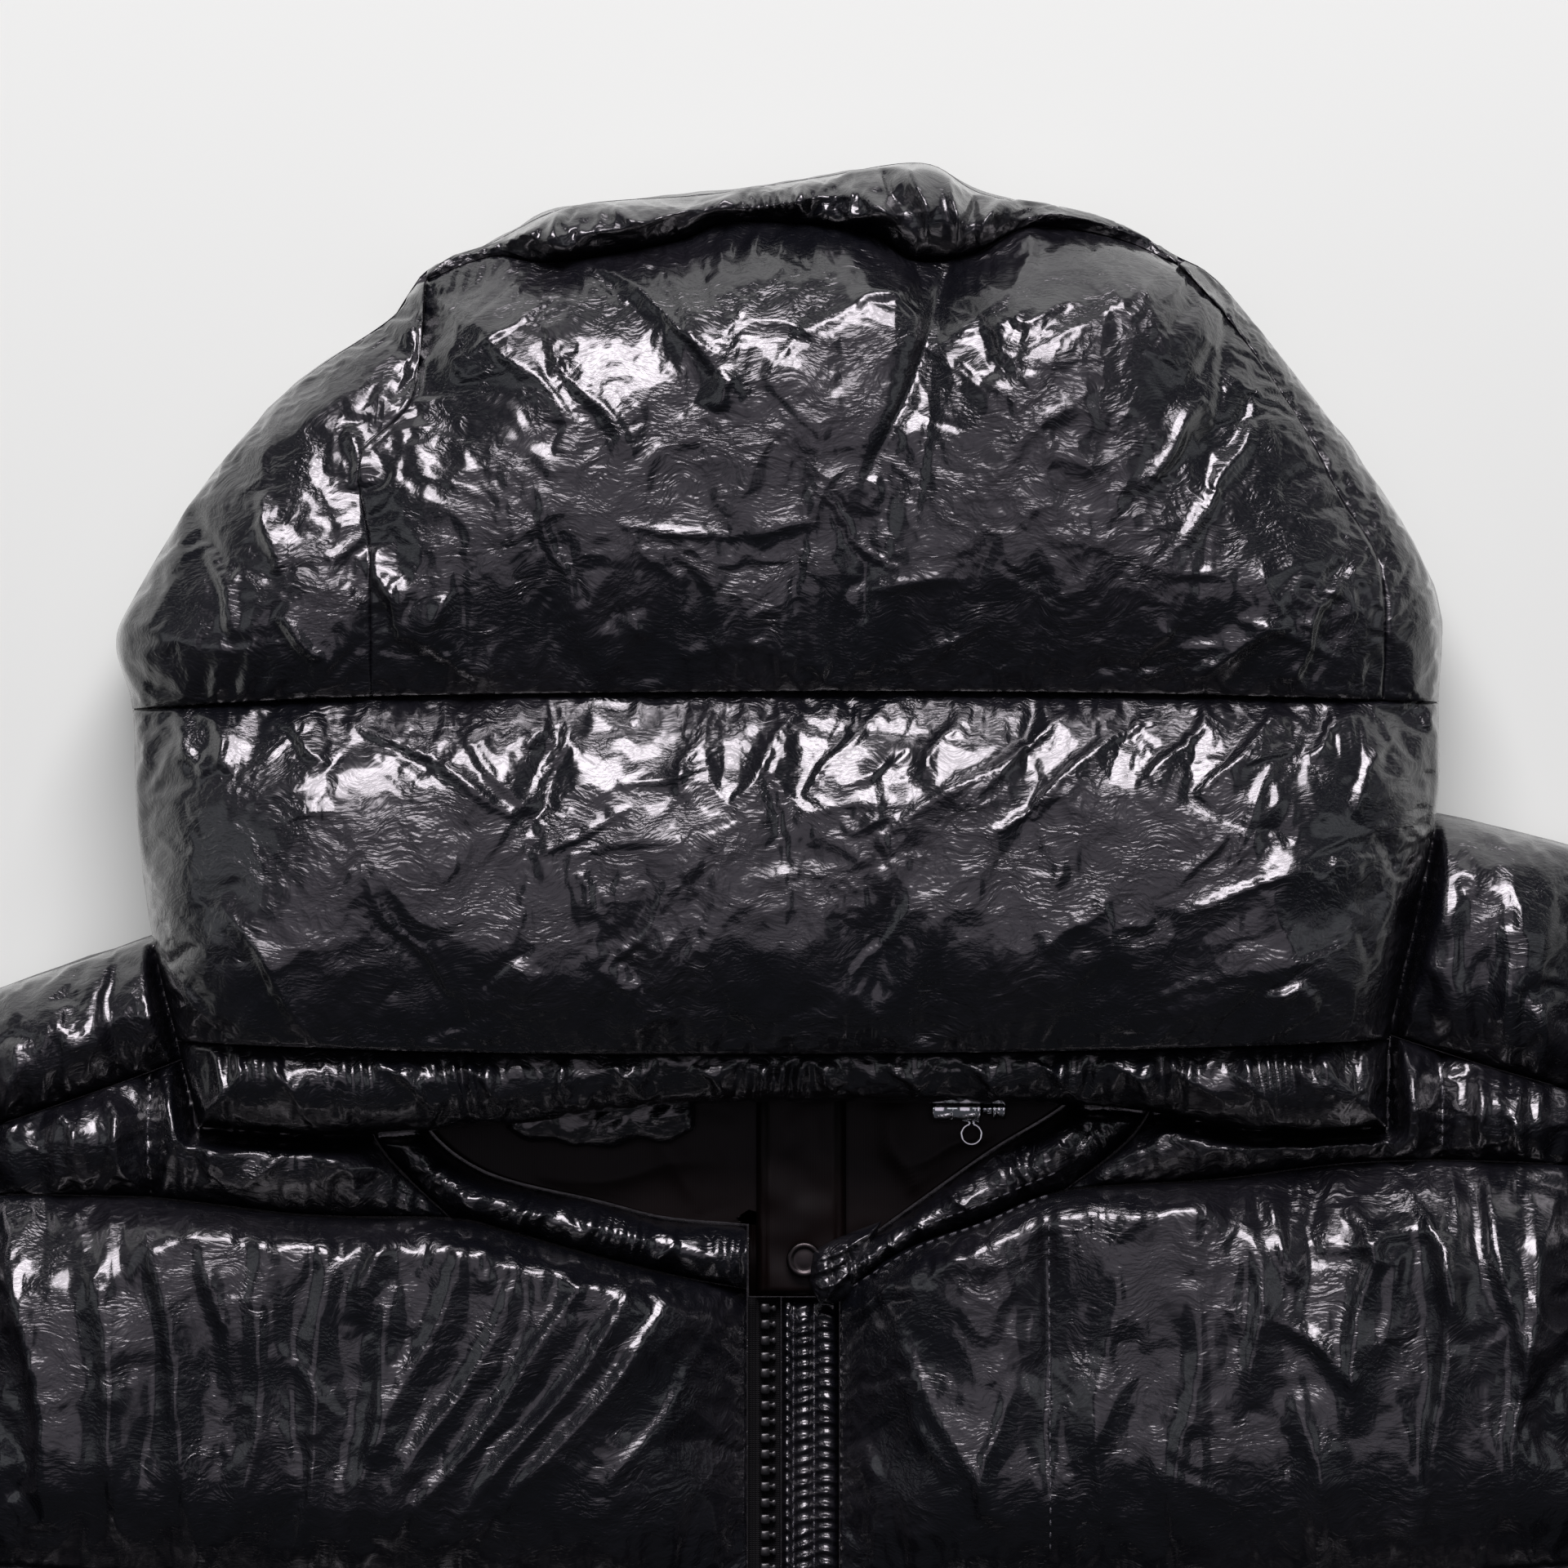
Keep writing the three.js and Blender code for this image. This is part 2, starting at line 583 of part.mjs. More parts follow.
// Sleeves lie beside the body: a front and a back wall over one outline, seam to seam.
function sleeve(side, loft, base, under) {
  const armhole = side === 'left' ? armholeLeft : mirrored(armholeRight);
  const shoulder = armhole(1);
  const run = degToRad(SLEEVE_ANGLE);
  const along = vec(-Math.sin(run), -Math.cos(run));
  const across = vec(along.y, -along.x);
  const cuff = shoulder.clone().lerp(armhole(0), 0.45).add(vec(-22, 0))
    .addScaledVector(along, SLEEVE_LENGTH * 0.78);
  const cuffOuter = cuff.clone().addScaledVector(across, CUFF_WIDTH / 2);
  const cuffInner = cuff.clone().addScaledVector(across, -CUFF_WIDTH / 2);
  const outer = smooth([
    cuffOuter.toArray(),
    shoulder.clone().lerp(cuffOuter, 0.66).add(vec(-16, 11)).toArray(),
    shoulder.clone().lerp(cuffOuter, 0.33).add(vec(-27, 17)).toArray(),
    shoulder.clone().add(vec(-40, -12)).toArray(),
    shoulder.toArray(),
  ]);
  const inner = smooth([
    cuffInner.toArray(),
    armhole(0).clone().lerp(cuffInner, 0.5).add(vec(4, -3)).toArray(),
    armhole(0).clone().add(vec(-11, -22)).toArray(),
    armhole(0).toArray(),
  ]);
  const seam = aside(reversed(armhole), -ARMHOLE_GAP);
  const plan = patch({
    bottom: straight([cuffOuter.toArray(), cuffInner.toArray()]),
    top: seam,
    left: (s) => outer(s).addScaledVector(seam(0).sub(outer(1)), s ** 3),
    right: (s) => inner(s).addScaledVector(seam(1).sub(inner(1)), s ** 3),
  });
  const turned = side === 'left' ? plan : (u, v) => {
    const p = plan(1 - u, v);
    return vec(-p.x, p.y);
  };
  const channels = 5;
  const height = (p, u, v) => {
    const wide = turned(0, v).distanceTo(turned(1, v));
    const t = v * channels - Math.min(Math.floor(v * channels + 1e-9), channels - 1);
    const near = Math.min(t, 1 - t) * BAFFLE_PITCH;
    const edge = Math.min(u, 1 - u) * wide;
    const fromCuff = v * channels * BAFFLE_PITCH;
    const hold = rounded(edge, wide * 0.42) * held(near, 0.5, 34) * held(fromCuff, 1, 18);
    return base + EDGE_RIM + loft * hold + gathers(near, u * wide, 34, 2.2) * rounded(edge, 30);
  };
  const vs = [];
  for (let k = 0; k < channels; k += 1) {
    const steps = under ? even(2) : crowded(4);
    steps.slice(k === 0 ? 0 : 1).forEach((t) => vs.push((k + t) / channels));
  }
  const rings = under ? turnedUnder(BACK_LOFT, 130, 600) : [{ z: base }];
  const top = under ? { level: loft } : { height };
  return pad({ plan: turned, ...top, us: even(14), vs, rings, capStep: 5 });
}
for (const side of ['left', 'right']) {
  add(`sleeve_${side}_back`, sleeve(side, BACK_LOFT, 0, true), nylon());
  add(`sleeve_${side}_front`, sleeve(side, SLEEVE_LOFT, PANEL_BASE, false), nylon());
}

// Hood, lower layer: the back of the hood from the neckline to the fold at its top, which turns
// over to the deep gathered seam.
const hoodTop = smooth(HOOD_OUTLINE);
const outlineShare = (x, y) => shareNear(hoodTop, x, y);

function hoodBack() {
  const leftFoot = outlineShare(-185.5, -43);
  const leftTop = outlineShare(-142.8, 117.6);
  const rightTop = outlineShare(130.8, 146.4);
  const rightFoot = outlineShare(193.7, -7.2);
  const neckFrom = shareNear(backTop, hoodTop(leftFoot).x, hoodTop(leftFoot).y);
  const neckTo = shareNear(backTop, hoodTop(rightFoot).x, hoodTop(rightFoot).y);
  const neck = aside(stretch(backTop, neckFrom, neckTo), 0.6);
  const left = stretch(hoodTop, leftFoot, leftTop);
  const right = reversed(stretch(hoodTop, rightTop, rightFoot));
  const plan = patch({
    bottom: neck,
    top: stretch(hoodTop, leftTop, rightTop),
    left: (s) => left(s).addScaledVector(neck(0).sub(left(0)), (1 - s) ** 3),
    right: (s) => right(s).addScaledVector(neck(1).sub(right(0)), (1 - s) ** 3),
  });
  const lower = pad({
    plan,
    level: HOOD_PLANE,
    us: even(24),
    vs: even(8),
    rings: turnedUnder(HOOD_PLANE, 380, 200),
    capStep: 6,
  });
  const seam = aside(smooth(SEAM_A), HALF_GAP);
  const fold = aside(stretch(hoodTop, outlineShare(-104.4, 151.2), outlineShare(117, 155.6)), -0.3);
  const foldPlan = patch({
    bottom: seam,
    top: fold,
    left: straight([seam(0).toArray(), fold(0).toArray()]),
    right: straight([seam(1).toArray(), fold(1).toArray()]),
  });
  const turn = pad({
    plan: foldPlan,
    height: (p, u, v) => {
      const deep = foldPlan(u, 1).distanceTo(foldPlan(u, 0));
      const loft = 24 * rounded((1 - v) * deep, 18) * held(v * deep, 0.5, 12);
      return HOOD_BASE + EDGE_RIM + loft + gathers(v * deep, p.x, 16, 2, 14);
    },
    us: even(40),
    vs: crowded(4),
    rings: [{ z: HOOD_PLANE - 4 }],
  });
  return fused(lower, turn);
}
add('hood_back', hoodBack(), nylon());

// Hood, upper layer. All its panels share one rounded form, which each seam pulls down.
const hoodLoft = (p) => HOOD_LOFT * rounded(insetOf(hoodOutline, p), 78);

function hoodPanel({ bottom, top, left, right, seams, columns, rows, waves }) {
  const plan = patch({ bottom, top, left, right });
  return pad({
    plan,
    height: (p, u, v) => {
      const tall = plan(u, 1).distanceTo(plan(u, 0));
      const wide = plan(1, v).distanceTo(plan(0, v));
      const below = v * tall;
      const above = (1 - v) * tall;
      const hold = held(below, seams.bottom, 34) * held(above, seams.top, 34)
        * held(u * wide, seams.left, 22) * held((1 - u) * wide, seams.right, 22);
      const near = Math.min(seams.bottom ? below : 1e3, seams.top ? above : 1e3);
      const loft = hoodLoft(p);
      const grown = Math.min(loft / 20, 1) * held(near, 1, 8);
      const detail = (gathers(near, p.x, waves, 3) + foldRise(HOOD_FOLDS, p)) * grown;
      return HOOD_BASE + EDGE_RIM + Math.max(0, loft * hold + detail);
    },
    us: columns,
    vs: rows,
    rings: [{ z: HOOD_BASE }],
    capStep: 6,
  });
}

// Four lines brought to common corners, so that a panel closes.
function closed({ bottom, top, left, right }) {
  return {
    bottom,
    top,
    left: trimmed(left, bottom(0), top(0)),
    right: trimmed(right, bottom(1), top(1)),
  };
}

const seamB = smooth(SEAM_B);
const brimSeam = smooth(BRIM_SEAM);
const seamA = smooth(SEAM_A);
const sideSeamLeftHood = smooth(SIDE_SEAM_LEFT);
const sideSeamRightHood = smooth(SIDE_SEAM_RIGHT);
const seamBLeft = shareNear(seamB, ...SIDE_SEAM_LEFT[0]);
const seamBRight = shareNear(seamB, ...SIDE_SEAM_RIGHT[0]);

add('hood_crown', hoodPanel({
  ...closed({
    bottom: aside(stretch(seamB, seamBLeft, seamBRight), HALF_GAP),
    top: aside(seamA, -HALF_GAP),
    left: aside(sideSeamLeftHood, -HALF_GAP),
    right: aside(sideSeamRightHood, HALF_GAP),
  }),
  seams: { bottom: 0.36, top: 0.42, left: 0.14, right: 0.14 },
  columns: even(38),
  rows: crowded(14, 0.4),
  waves: 23,
}), nylon());

const outlineLeftLow = outlineShare(-190.6, 22);
const outlineLeftHigh = outlineShare(-104.4, 151.2);
const outlineRightHigh = outlineShare(117, 155.6);
const outlineRightLow = outlineShare(194, 24);

add('hood_side_left', hoodPanel({
  ...closed({
    bottom: aside(stretch(seamB, 0, seamBLeft), HALF_GAP),
    top: straight([[-107, 147.2], [-104.5, 147.6]]),
    left: stretch(hoodTop, outlineLeftLow, outlineLeftHigh - 0.003),
    right: aside(sideSeamLeftHood, HALF_GAP),
  }),
  seams: { bottom: 0.36, top: 0, left: 0, right: 0.14 },
  columns: even(6),
  rows: crowded(14, 0.4),
  waves: 23,
}), nylon());

add('hood_side_right', hoodPanel({
  ...closed({
    bottom: aside(stretch(seamB, seamBRight, 1), HALF_GAP),
    top: straight([[117.4, 152.6], [119, 153.6]]),
    left: aside(sideSeamRightHood, -HALF_GAP),
    right: reversed(stretch(hoodTop, outlineRightHigh + 0.003, outlineRightLow)),
  }),
  seams: { bottom: 0.36, top: 0, left: 0.14, right: 0 },
  columns: even(3),
  rows: crowded(14, 0.4),
  waves: 23,
}), nylon());

add('hood_front', hoodPanel({
  ...closed({
    bottom: aside(brimSeam, HALF_GAP),
    top: aside(seamB, -HALF_GAP),
    left: stretch(hoodTop, outlineShare(-177.3, -75.5), outlineLeftLow),
    right: reversed(stretch(hoodTop, outlineRightLow, outlineShare(179.5, -75))),
  }),
  seams: { bottom: 0.4, top: 0.36, left: 0, right: 0 },
  columns: crowded(46, 0.3),
  rows: crowded(10, 0.4),
  waves: 23,
}), nylon());

add('hood_brim', hoodPanel({
  ...closed({
    bottom: smooth(BRIM_EDGE),
    top: aside(brimSeam, -HALF_GAP),
    left: stretch(hoodTop, 0, outlineShare(-177.3, -75.5)),
    right: reversed(stretch(hoodTop, outlineShare(179.5, -75), 1)),
  }),
  seams: { bottom: 0, top: 0.4, left: 0, right: 0 },
  columns: even(44),
  rows: crowded(5),
  waves: 17,
}), nylon());

// Collar bands, rolled outwards along the neck opening.
function collar(side) {
  const left = side === 'left';
  const inner = aside(smooth(left ? OPENING_LEFT : OPENING_RIGHT), left ? -HALF_GAP : HALF_GAP);
  const corner = cornerShare[side];
  const band = left ? stretch(firstLine.left, corner, 1) : reversed(stretch(firstLine.right, 0, corner));
  const outer = aside(joined(neckLine[side], band, 0.5), left ? HALF_GAP : -HALF_GAP);
  const neck = straight([outer(0).toArray(), inner(0).toArray()]);
  const opening = straight([outer(1).toArray(), inner(1).toArray()]);
  const along = left
    ? patch({ bottom: outer, top: inner, left: neck, right: opening })
    : patch({ bottom: reversed(outer), top: reversed(inner), left: opening, right: neck });
  return pad({
    plan: along,
    height: (p, u, v) => {
      const wide = along(u, 1).distanceTo(along(u, 0));
      const loft = COLLAR_LOFT * rounded((1 - v) * wide, 9) * held(v * wide, 0.45, 10);
      const pucker = gathers(Math.min(v, 1 - v) * wide, u * 150, 19, 1.6, 12);
      return Math.min(PANEL_BASE + EDGE_RIM + loft + pucker, underHood(p));
    },
    us: even(22),
    vs: crowded(4),
    rings: [{ z: PANEL_BASE }],
  });
}
add('collar_left', collar('left'), nylon());
add('collar_right', collar('right'), nylon());

// Inside of the neck, smooth lining that shows in the opening and runs up under the hood.
function neckLining() {
  const inset = 0.6;
  const innerLeft = smooth(OPENING_LEFT);
  const innerRight = smooth(OPENING_RIGHT);
  const left = even(14).map((s) => aside(innerLeft, inset)(1 - s).toArray());
  const right = even(14).map((s) => aside(innerRight, -inset)(1 - s).toArray());
  const leftX = ZIP.left + SEAM_GAP;
  const rightX = PLACKET.right + 2;
  const neckFrom = shareNear(backTop, -94, -15);
  const neckTo = shareNear(backTop, 98, 2);
  const topLine = aside(stretch(backTop, neckFrom, neckTo), -1.5);
  const foot = 0.15;
  const upTo = (x, rows, end) => joined(
    straight([[x, GUARD.bottom], [x, rows[0][1] + 4]]),
    straight([[x, rows[0][1] + 4], ...rows.slice(1), end.toArray()]),
    foot,
  );
  const leftLine = upTo(leftX, left, topLine(0));
  const rightLine = upTo(rightX, right, topLine(1));
  const plan = (u, v) => {
    const bow = topLine(u).sub(topLine(0).lerp(topLine(1), u));
    return leftLine(v).lerp(rightLine(v), u).addScaledVector(bow, v ** 5);
  };
  return pad({
    plan,
    height: (p) => PANEL_BASE + lerp(LINING_THICKNESS, HOOD_PLANE - PANEL_BASE, smoothstep(p.y, -79, -62)),
    us: even(10),
    vs: [0, foot / 2, ...even(16).map((s) => lerp(foot, 1, s))],
    rings: [{ z: PANEL_BASE }],
  });
}
add('neck_lining', neckLining(), liningCloth());

// A narrow strip with rounded long edges.
function strip({ left, right, bottom, top, base, thickness, edge, columns, rows }) {
  const plan = (u, v) => vec(lerp(left, right, u), lerp(bottom, top, v));
  const wide = right - left;
  const height = (p, u) => base + thickness * held(Math.min(u, 1 - u) * wide, edge, 4);
  return pad({ plan, height, us: crowded(columns, 0.7), vs: even(rows), rings: [{ z: base }] });
}
add('zip_tape', strip({
  ...ZIP, top: OPENING_TOP, bottom: HEM_Y + 1, base: PANEL_BASE, edge: 0, columns: 2, rows: 8,
}), zipCloth());
add('placket', strip({
  ...PLACKET, top: OPENING_TOP, bottom: HEM_Y + 1, base: PANEL_BASE, edge: 0.6, columns: 5, rows: 8,
}), nylon());
const guardBase = PANEL_BASE + LINING_THICKNESS + SEAM_GAP;
add('chin_guard', strip({ ...GUARD, base: guardBase, edge: 0.6, columns: 8, rows: 6 }), liningCloth());

// Snap button on the chin guard: a low cap with a rolled rim, its post pressed through the cloth.
function snapButton() {
  const { radius, height, post } = SNAP;
  const profile = [
    [0, 0], [post, 0], [post, 0.5], [radius - 0.6, 0.5], [radius, 1.1], [radius, height - 0.8],
    [radius - 0.7, height], [radius - 1.8, height], [radius - 2.4, height - 0.5], [0, height - 0.3],
  ];
  const cap = new THREE.LatheGeometry(profile.map(([r, z]) => vec(r, z)), 20);
  return fromManifold(toManifold(cap.rotateX(Math.PI / 2)));
}
const snap = add('snap_button', snapButton(), darkMetal());
snap.position.set(SNAP.x, SNAP.y, guardBase + GUARD.thickness + SEAM_GAP);

// Slider: a body with two ears and the pin that the tab turns on.
const sliderBase = PANEL_BASE + ZIP.thickness + SEAM_GAP;
const hingeY = SLIDER.y + SLIDER.length / 2 - SLIDER.hinge;
const hingeZ = sliderBase + SLIDER.height + SLIDER_EAR.rise;

function slider() {
  const { width, length, height } = SLIDER;
  const outline = [
    [-width * 0.32, -length / 2], [width * 0.32, -length / 2], [width / 2, length * 0.12],
    [width / 2, length / 2 - 1], [width / 2 - 1, length / 2], [-width / 2 + 1, length / 2],
    [-width / 2, length / 2 - 1], [-width / 2, length * 0.12],
  ];
  const shape = new THREE.Shape(outline.map(([x, y]) => vec(x, y)));
  const body = new THREE.ExtrudeGeometry(shape, { depth: height, bevelEnabled: false });
  const earDepth = SLIDER_EAR.outer - SLIDER_EAR.inner;
  const ears = [-1, 1].map((sign) => {
    const middle = sign * (SLIDER_EAR.inner + earDepth / 2);
    const plate = new THREE.BoxGeometry(earDepth, 2 * SLIDER_EAR.radius, SLIDER_EAR.rise + 1);
    plate.translate(middle, length / 2 - SLIDER.hinge, height + (SLIDER_EAR.rise - 1) / 2);
    const head = new THREE.CylinderGeometry(SLIDER_EAR.radius, SLIDER_EAR.radius, earDepth, 16);
    head.rotateZ(Math.PI / 2).translate(middle, length / 2 - SLIDER.hinge, height + SLIDER_EAR.rise);
    return [plate, head];
  });
  const pin = new THREE.CylinderGeometry(SLIDER_EAR.pin, SLIDER_EAR.pin, 2 * SLIDER_EAR.outer - 0.2, 14);
  pin.rotateZ(Math.PI / 2).translate(0, length / 2 - SLIDER.hinge, height + SLIDER_EAR.rise);
  return fused(body, ...ears.flat(), pin);
}
add('zip_slider', slider(), darkMetal()).position.set(SLIDER.x, SLIDER.y, sliderBase);

// Pull tab: a flat tongue with an eye round the pin, drooping to rest on the teeth.
function pullTab() {
  const { eye, hole, length, thickness, half, tip } = PULL;
  const ring = new THREE.Shape().absarc(0, 0, eye, 0, 2 * Math.PI);
  ring.holes.push(new THREE.Path().absarc(0, 0, hole, 0, 2 * Math.PI, true));
  const eyeCut = { depth: 2 * half, bevelEnabled: false, curveSegments: 7 };
  const eyePiece = new THREE.ExtrudeGeometry(ring, eyeCut);
  eyePiece.translate(0, 0, -half).rotateY(Math.PI / 2);
  const tongue = new THREE.BoxGeometry(2 * half, length - eye, thickness);
  tongue.translate(0, (length + eye) / 2 - 0.35, 0);
  const paddle = new THREE.CylinderGeometry(tip / 2, tip / 2, thickness, 16);
  paddle.rotateX(Math.PI / 2).translate(0, length, 0);
  return fused(eyePiece, tongue, paddle);
}
const pull = add('zip_pull', pullTab(), darkMetal());
pull.position.set(SLIDER.x, hingeY, hingeZ);
pull.rotation.x = -degToRad(PULL.droop);

// Cord lock: a turned barrel with a blind bore, lying on the lining along the brim.
const lockZ = PANEL_BASE + LINING_THICKNESS + SEAM_GAP + LOCK.flange;
function turnedAlongX(rows, sides) {
  const geometry = new THREE.LatheGeometry(rows.map(([x, r]) => vec(r, x)), sides);
  return fromManifold(toManifold(geometry.rotateZ(-Math.PI / 2)));
}
const lockEnd = LOCK.length + LOCK.flangeWidth;
add('cord_lock_barrel', turnedAlongX([
  [0, 0], [0, LOCK.radius - 0.7], [0.7, LOCK.radius], [LOCK.length, LOCK.radius],
  [LOCK.length, LOCK.flange], [lockEnd, LOCK.flange], [lockEnd, BORE.radius],
  [lockEnd - BORE.depth, BORE.radius], [lockEnd - BORE.depth, 0],
], 20), chrome()).position.set(LOCK.x, LOCK.y, lockZ);

const knobFrom = PLUNGER.neck;
const knobTo = PLUNGER.neck + PLUNGER.knobLength;
add('cord_lock_plunger', turnedAlongX([
  [-PLUNGER.inside, 0], [-PLUNGER.inside, PLUNGER.stem], [knobFrom, PLUNGER.stem],
  [knobFrom, PLUNGER.knob - 0.5], [knobFrom + 0.5, PLUNGER.knob], [knobTo - 1, PLUNGER.knob],
  [knobTo, PLUNGER.knob - 1], [knobTo, 0],
], 20), chrome()).position.set(LOCK.x + lockEnd, LOCK.y, lockZ);

const ringGeometry = new THREE.TorusGeometry(LOCK_RING.radius, LOCK_RING.wire, 6, 20);
const ring = add('cord_lock_ring', fromManifold(toManifold(ringGeometry)), chrome());
const ringDrop = LOCK.radius + SEAM_GAP + LOCK_RING.radius + LOCK_RING.wire;
ring.position.set(LOCK_RING.x, LOCK.y - ringDrop, lockZ);

// The origin is under the middle of the laid-out garment.
const extent = new THREE.Box3().setFromObject(garment);
const middle = extent.getCenter(new THREE.Vector3());
garment.position.set(-middle.x, -middle.y, -extent.min.z);

export default garment;
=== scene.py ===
from math import pi, radians, tau

import bpy
import numpy as np
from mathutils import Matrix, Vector


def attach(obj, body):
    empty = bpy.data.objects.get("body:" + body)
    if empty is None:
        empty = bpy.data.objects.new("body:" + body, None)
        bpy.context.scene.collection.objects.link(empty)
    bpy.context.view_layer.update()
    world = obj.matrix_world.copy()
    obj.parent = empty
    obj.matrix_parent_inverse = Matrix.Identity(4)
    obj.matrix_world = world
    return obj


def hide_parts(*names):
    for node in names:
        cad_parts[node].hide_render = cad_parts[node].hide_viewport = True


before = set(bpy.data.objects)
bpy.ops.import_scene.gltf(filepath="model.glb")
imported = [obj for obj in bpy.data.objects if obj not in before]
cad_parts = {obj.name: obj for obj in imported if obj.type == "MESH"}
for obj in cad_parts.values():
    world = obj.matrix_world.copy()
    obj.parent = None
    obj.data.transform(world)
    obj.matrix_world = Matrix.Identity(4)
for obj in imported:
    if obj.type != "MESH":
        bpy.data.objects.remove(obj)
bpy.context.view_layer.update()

# The view: the jacket lies on a white table under a camera that looks straight down on the hood. A
# wide soft light stands past the hood, a dim one hangs over the table and two strips stand beside.
VIEW_WIDTH = 0.4608
VIEW_MIDDLE = Vector((0.0012, 0.2599, 0.05))
CAMERA_HEIGHT = 3.5
FILM = 36

camera = bpy.data.objects.new("camera", bpy.data.cameras.new("camera"))
camera.location = VIEW_MIDDLE + Vector((0, 0, CAMERA_HEIGHT))
camera.data.sensor_width = FILM
camera.data.lens = FILM * CAMERA_HEIGHT / VIEW_WIDTH
camera.data.clip_end = 100
bpy.context.scene.collection.objects.link(camera)
bpy.context.scene.camera = camera

LIGHTS = {
    "window": ((0.0, 2.15, 1.75), 1.9, 1.15, 16.5, (1.0, 0.93, 1.0)),
    "ceiling": ((0.0, 0.5, 2.7), 2.4, 2.4, 0.55, (0.97, 0.87, 1.0)),
    "left_strip": ((-2.1, 0.5, 1.3), 0.8, 1.8, 0.6, (0.92, 0.95, 1.0)),
    "right_strip": ((2.1, 0.5, 1.3), 0.8, 1.8, 0.6, (0.92, 0.95, 1.0)),
}
for name, (place, wide, high, glow, colour) in LIGHTS.items():
    lamp = bpy.data.lights.new(name, "AREA")
    lamp.shape = "RECTANGLE"
    lamp.size, lamp.size_y = wide, high
    lamp.energy = glow * pi * wide * high
    lamp.color = colour
    light = bpy.data.objects.new(name, lamp)
    light.location = place
    light.rotation_mode = "QUATERNION"
    light.rotation_quaternion = (VIEW_MIDDLE - Vector(place)).to_track_quat("-Z", "Y")
    light.visible_camera = False
    bpy.context.scene.collection.objects.link(light)

room = bpy.data.worlds.new("room")
room.use_nodes = True
room.node_tree.nodes["Background"].inputs["Color"].default_value = (0.045, 0.047, 0.055, 1)
bpy.context.scene.world = room
bpy.context.scene.view_settings.view_transform = "Standard"

table_cloth = bpy.data.materials.new("white_table")
table_cloth.use_nodes = True
paint = table_cloth.node_tree.nodes["Principled BSDF"]
paint.inputs["Base Color"].default_value = (0.53, 0.565, 0.52, 1)
paint.inputs["Roughness"].default_value = 0.7
paint.inputs["Specular IOR Level"].default_value = 0.2
paint.inputs["Emission Color"].default_value = (1, 1, 1, 1)
paint.inputs["Emission Strength"].default_value = 0.1
table = bpy.data.meshes.new("table")
table.from_pydata([(-5, -5, 0), (5, -5, 0), (5, 5, 0), (-5, 5, 0)], [], [(0, 1, 2, 3)])
table.materials.append(table_cloth)
table_top = bpy.data.objects.new("table", table)
bpy.context.scene.collection.objects.link(table_top)


# Shell cloth: thin black nylon with a wet gloss, crumpled for good when it was made. It covers every
# padded panel of the jacket, so its finish is worked out once, here.
class Wire:
    """A socket in a material's node tree. Sums and products of wires add the nodes that make them."""

    def __init__(self, tree, socket=None):
        self.tree = tree
        self.socket = socket

    def node(self, kind, settings, sockets, output=0):
        """One output of a new node: its settings first, then the values or wires of its sockets."""
        made = self.tree.nodes.new(kind)
        for name, value in settings.items():
            if name == "stops":
                for stop, (place, shade) in zip(made.color_ramp.elements, value):
                    stop.position, stop.color = place, (shade, shade, shade, 1)
            else:
                setattr(made, name, value)
        for name, value in sockets.items():
            if isinstance(value, Wire):
                self.tree.links.new(value.socket, made.inputs[name])
            else:
                made.inputs[name].default_value = value
        return Wire(self.tree, made.outputs[output])

    def _math(self, operation, first, second):
        return self.node("ShaderNodeMath", {"operation": operation}, {0: first, 1: second})

    def __add__(self, other):
        return self._math("ADD", self, other)

    def __sub__(self, other):
        return self._math("SUBTRACT", self, other)

    def __rsub__(self, other):
        return self._math("SUBTRACT", other, self)

    def __mul__(self, other):
        return self._math("MULTIPLY", self, other)

    def __abs__(self):
        return self._math("ABSOLUTE", self, 0.0)

    __radd__, __rmul__ = __add__, __mul__


def new_material(name):
    """A material, its shader, a wire to start its nodes from, and the place on the piece."""
    made = bpy.data.materials.new(name)
    made.use_nodes = True
    tree = made.node_tree
    wire = Wire(tree)
    return made, tree.nodes["Principled BSDF"], wire, wire.node("ShaderNodeTexCoord", {}, {}, "Object")


def cloudy(place, scale, detail):
    return place.node("ShaderNodeTexNoise", {}, {"Vector": place, "Scale": scale, "Detail": detail}, "Fac")


def blended(factor, dark, pale):
    """A colour between two, by a factor that changes over the surface."""
    return factor.node("ShaderNodeMix", {"data_type": "RGBA"}, {
        "Factor": factor, 6: (*dark, 1), 7: (*pale, 1),
    }, 2)


def raised(height):
    """The normal of a surface with the given relief, in metres."""
    return height.node("ShaderNodeBump", {}, {
        "Strength": 1.0, "Distance": 1.0, "Height": height,
    }, "Normal")


def feed(shader, wires, values):
    """Links what changes over the surface and sets what is the same all over."""
    for name, wire in wires.items():
        wire.tree.links.new(wire.socket, shader.inputs[name])
    for name, value in values.items():
        shader.inputs[name].default_value = value


NYLON_BLACK = (0.0024, 0.0027, 0.0042)
NYLON_DUSK = (0.005, 0.0048, 0.0068)
BEND = 0.014
DRAW = 0.4
FACET = 0.13
FINE_FACET = 0.16
RIDGE = 0.0013
GRAIN = 0.00028


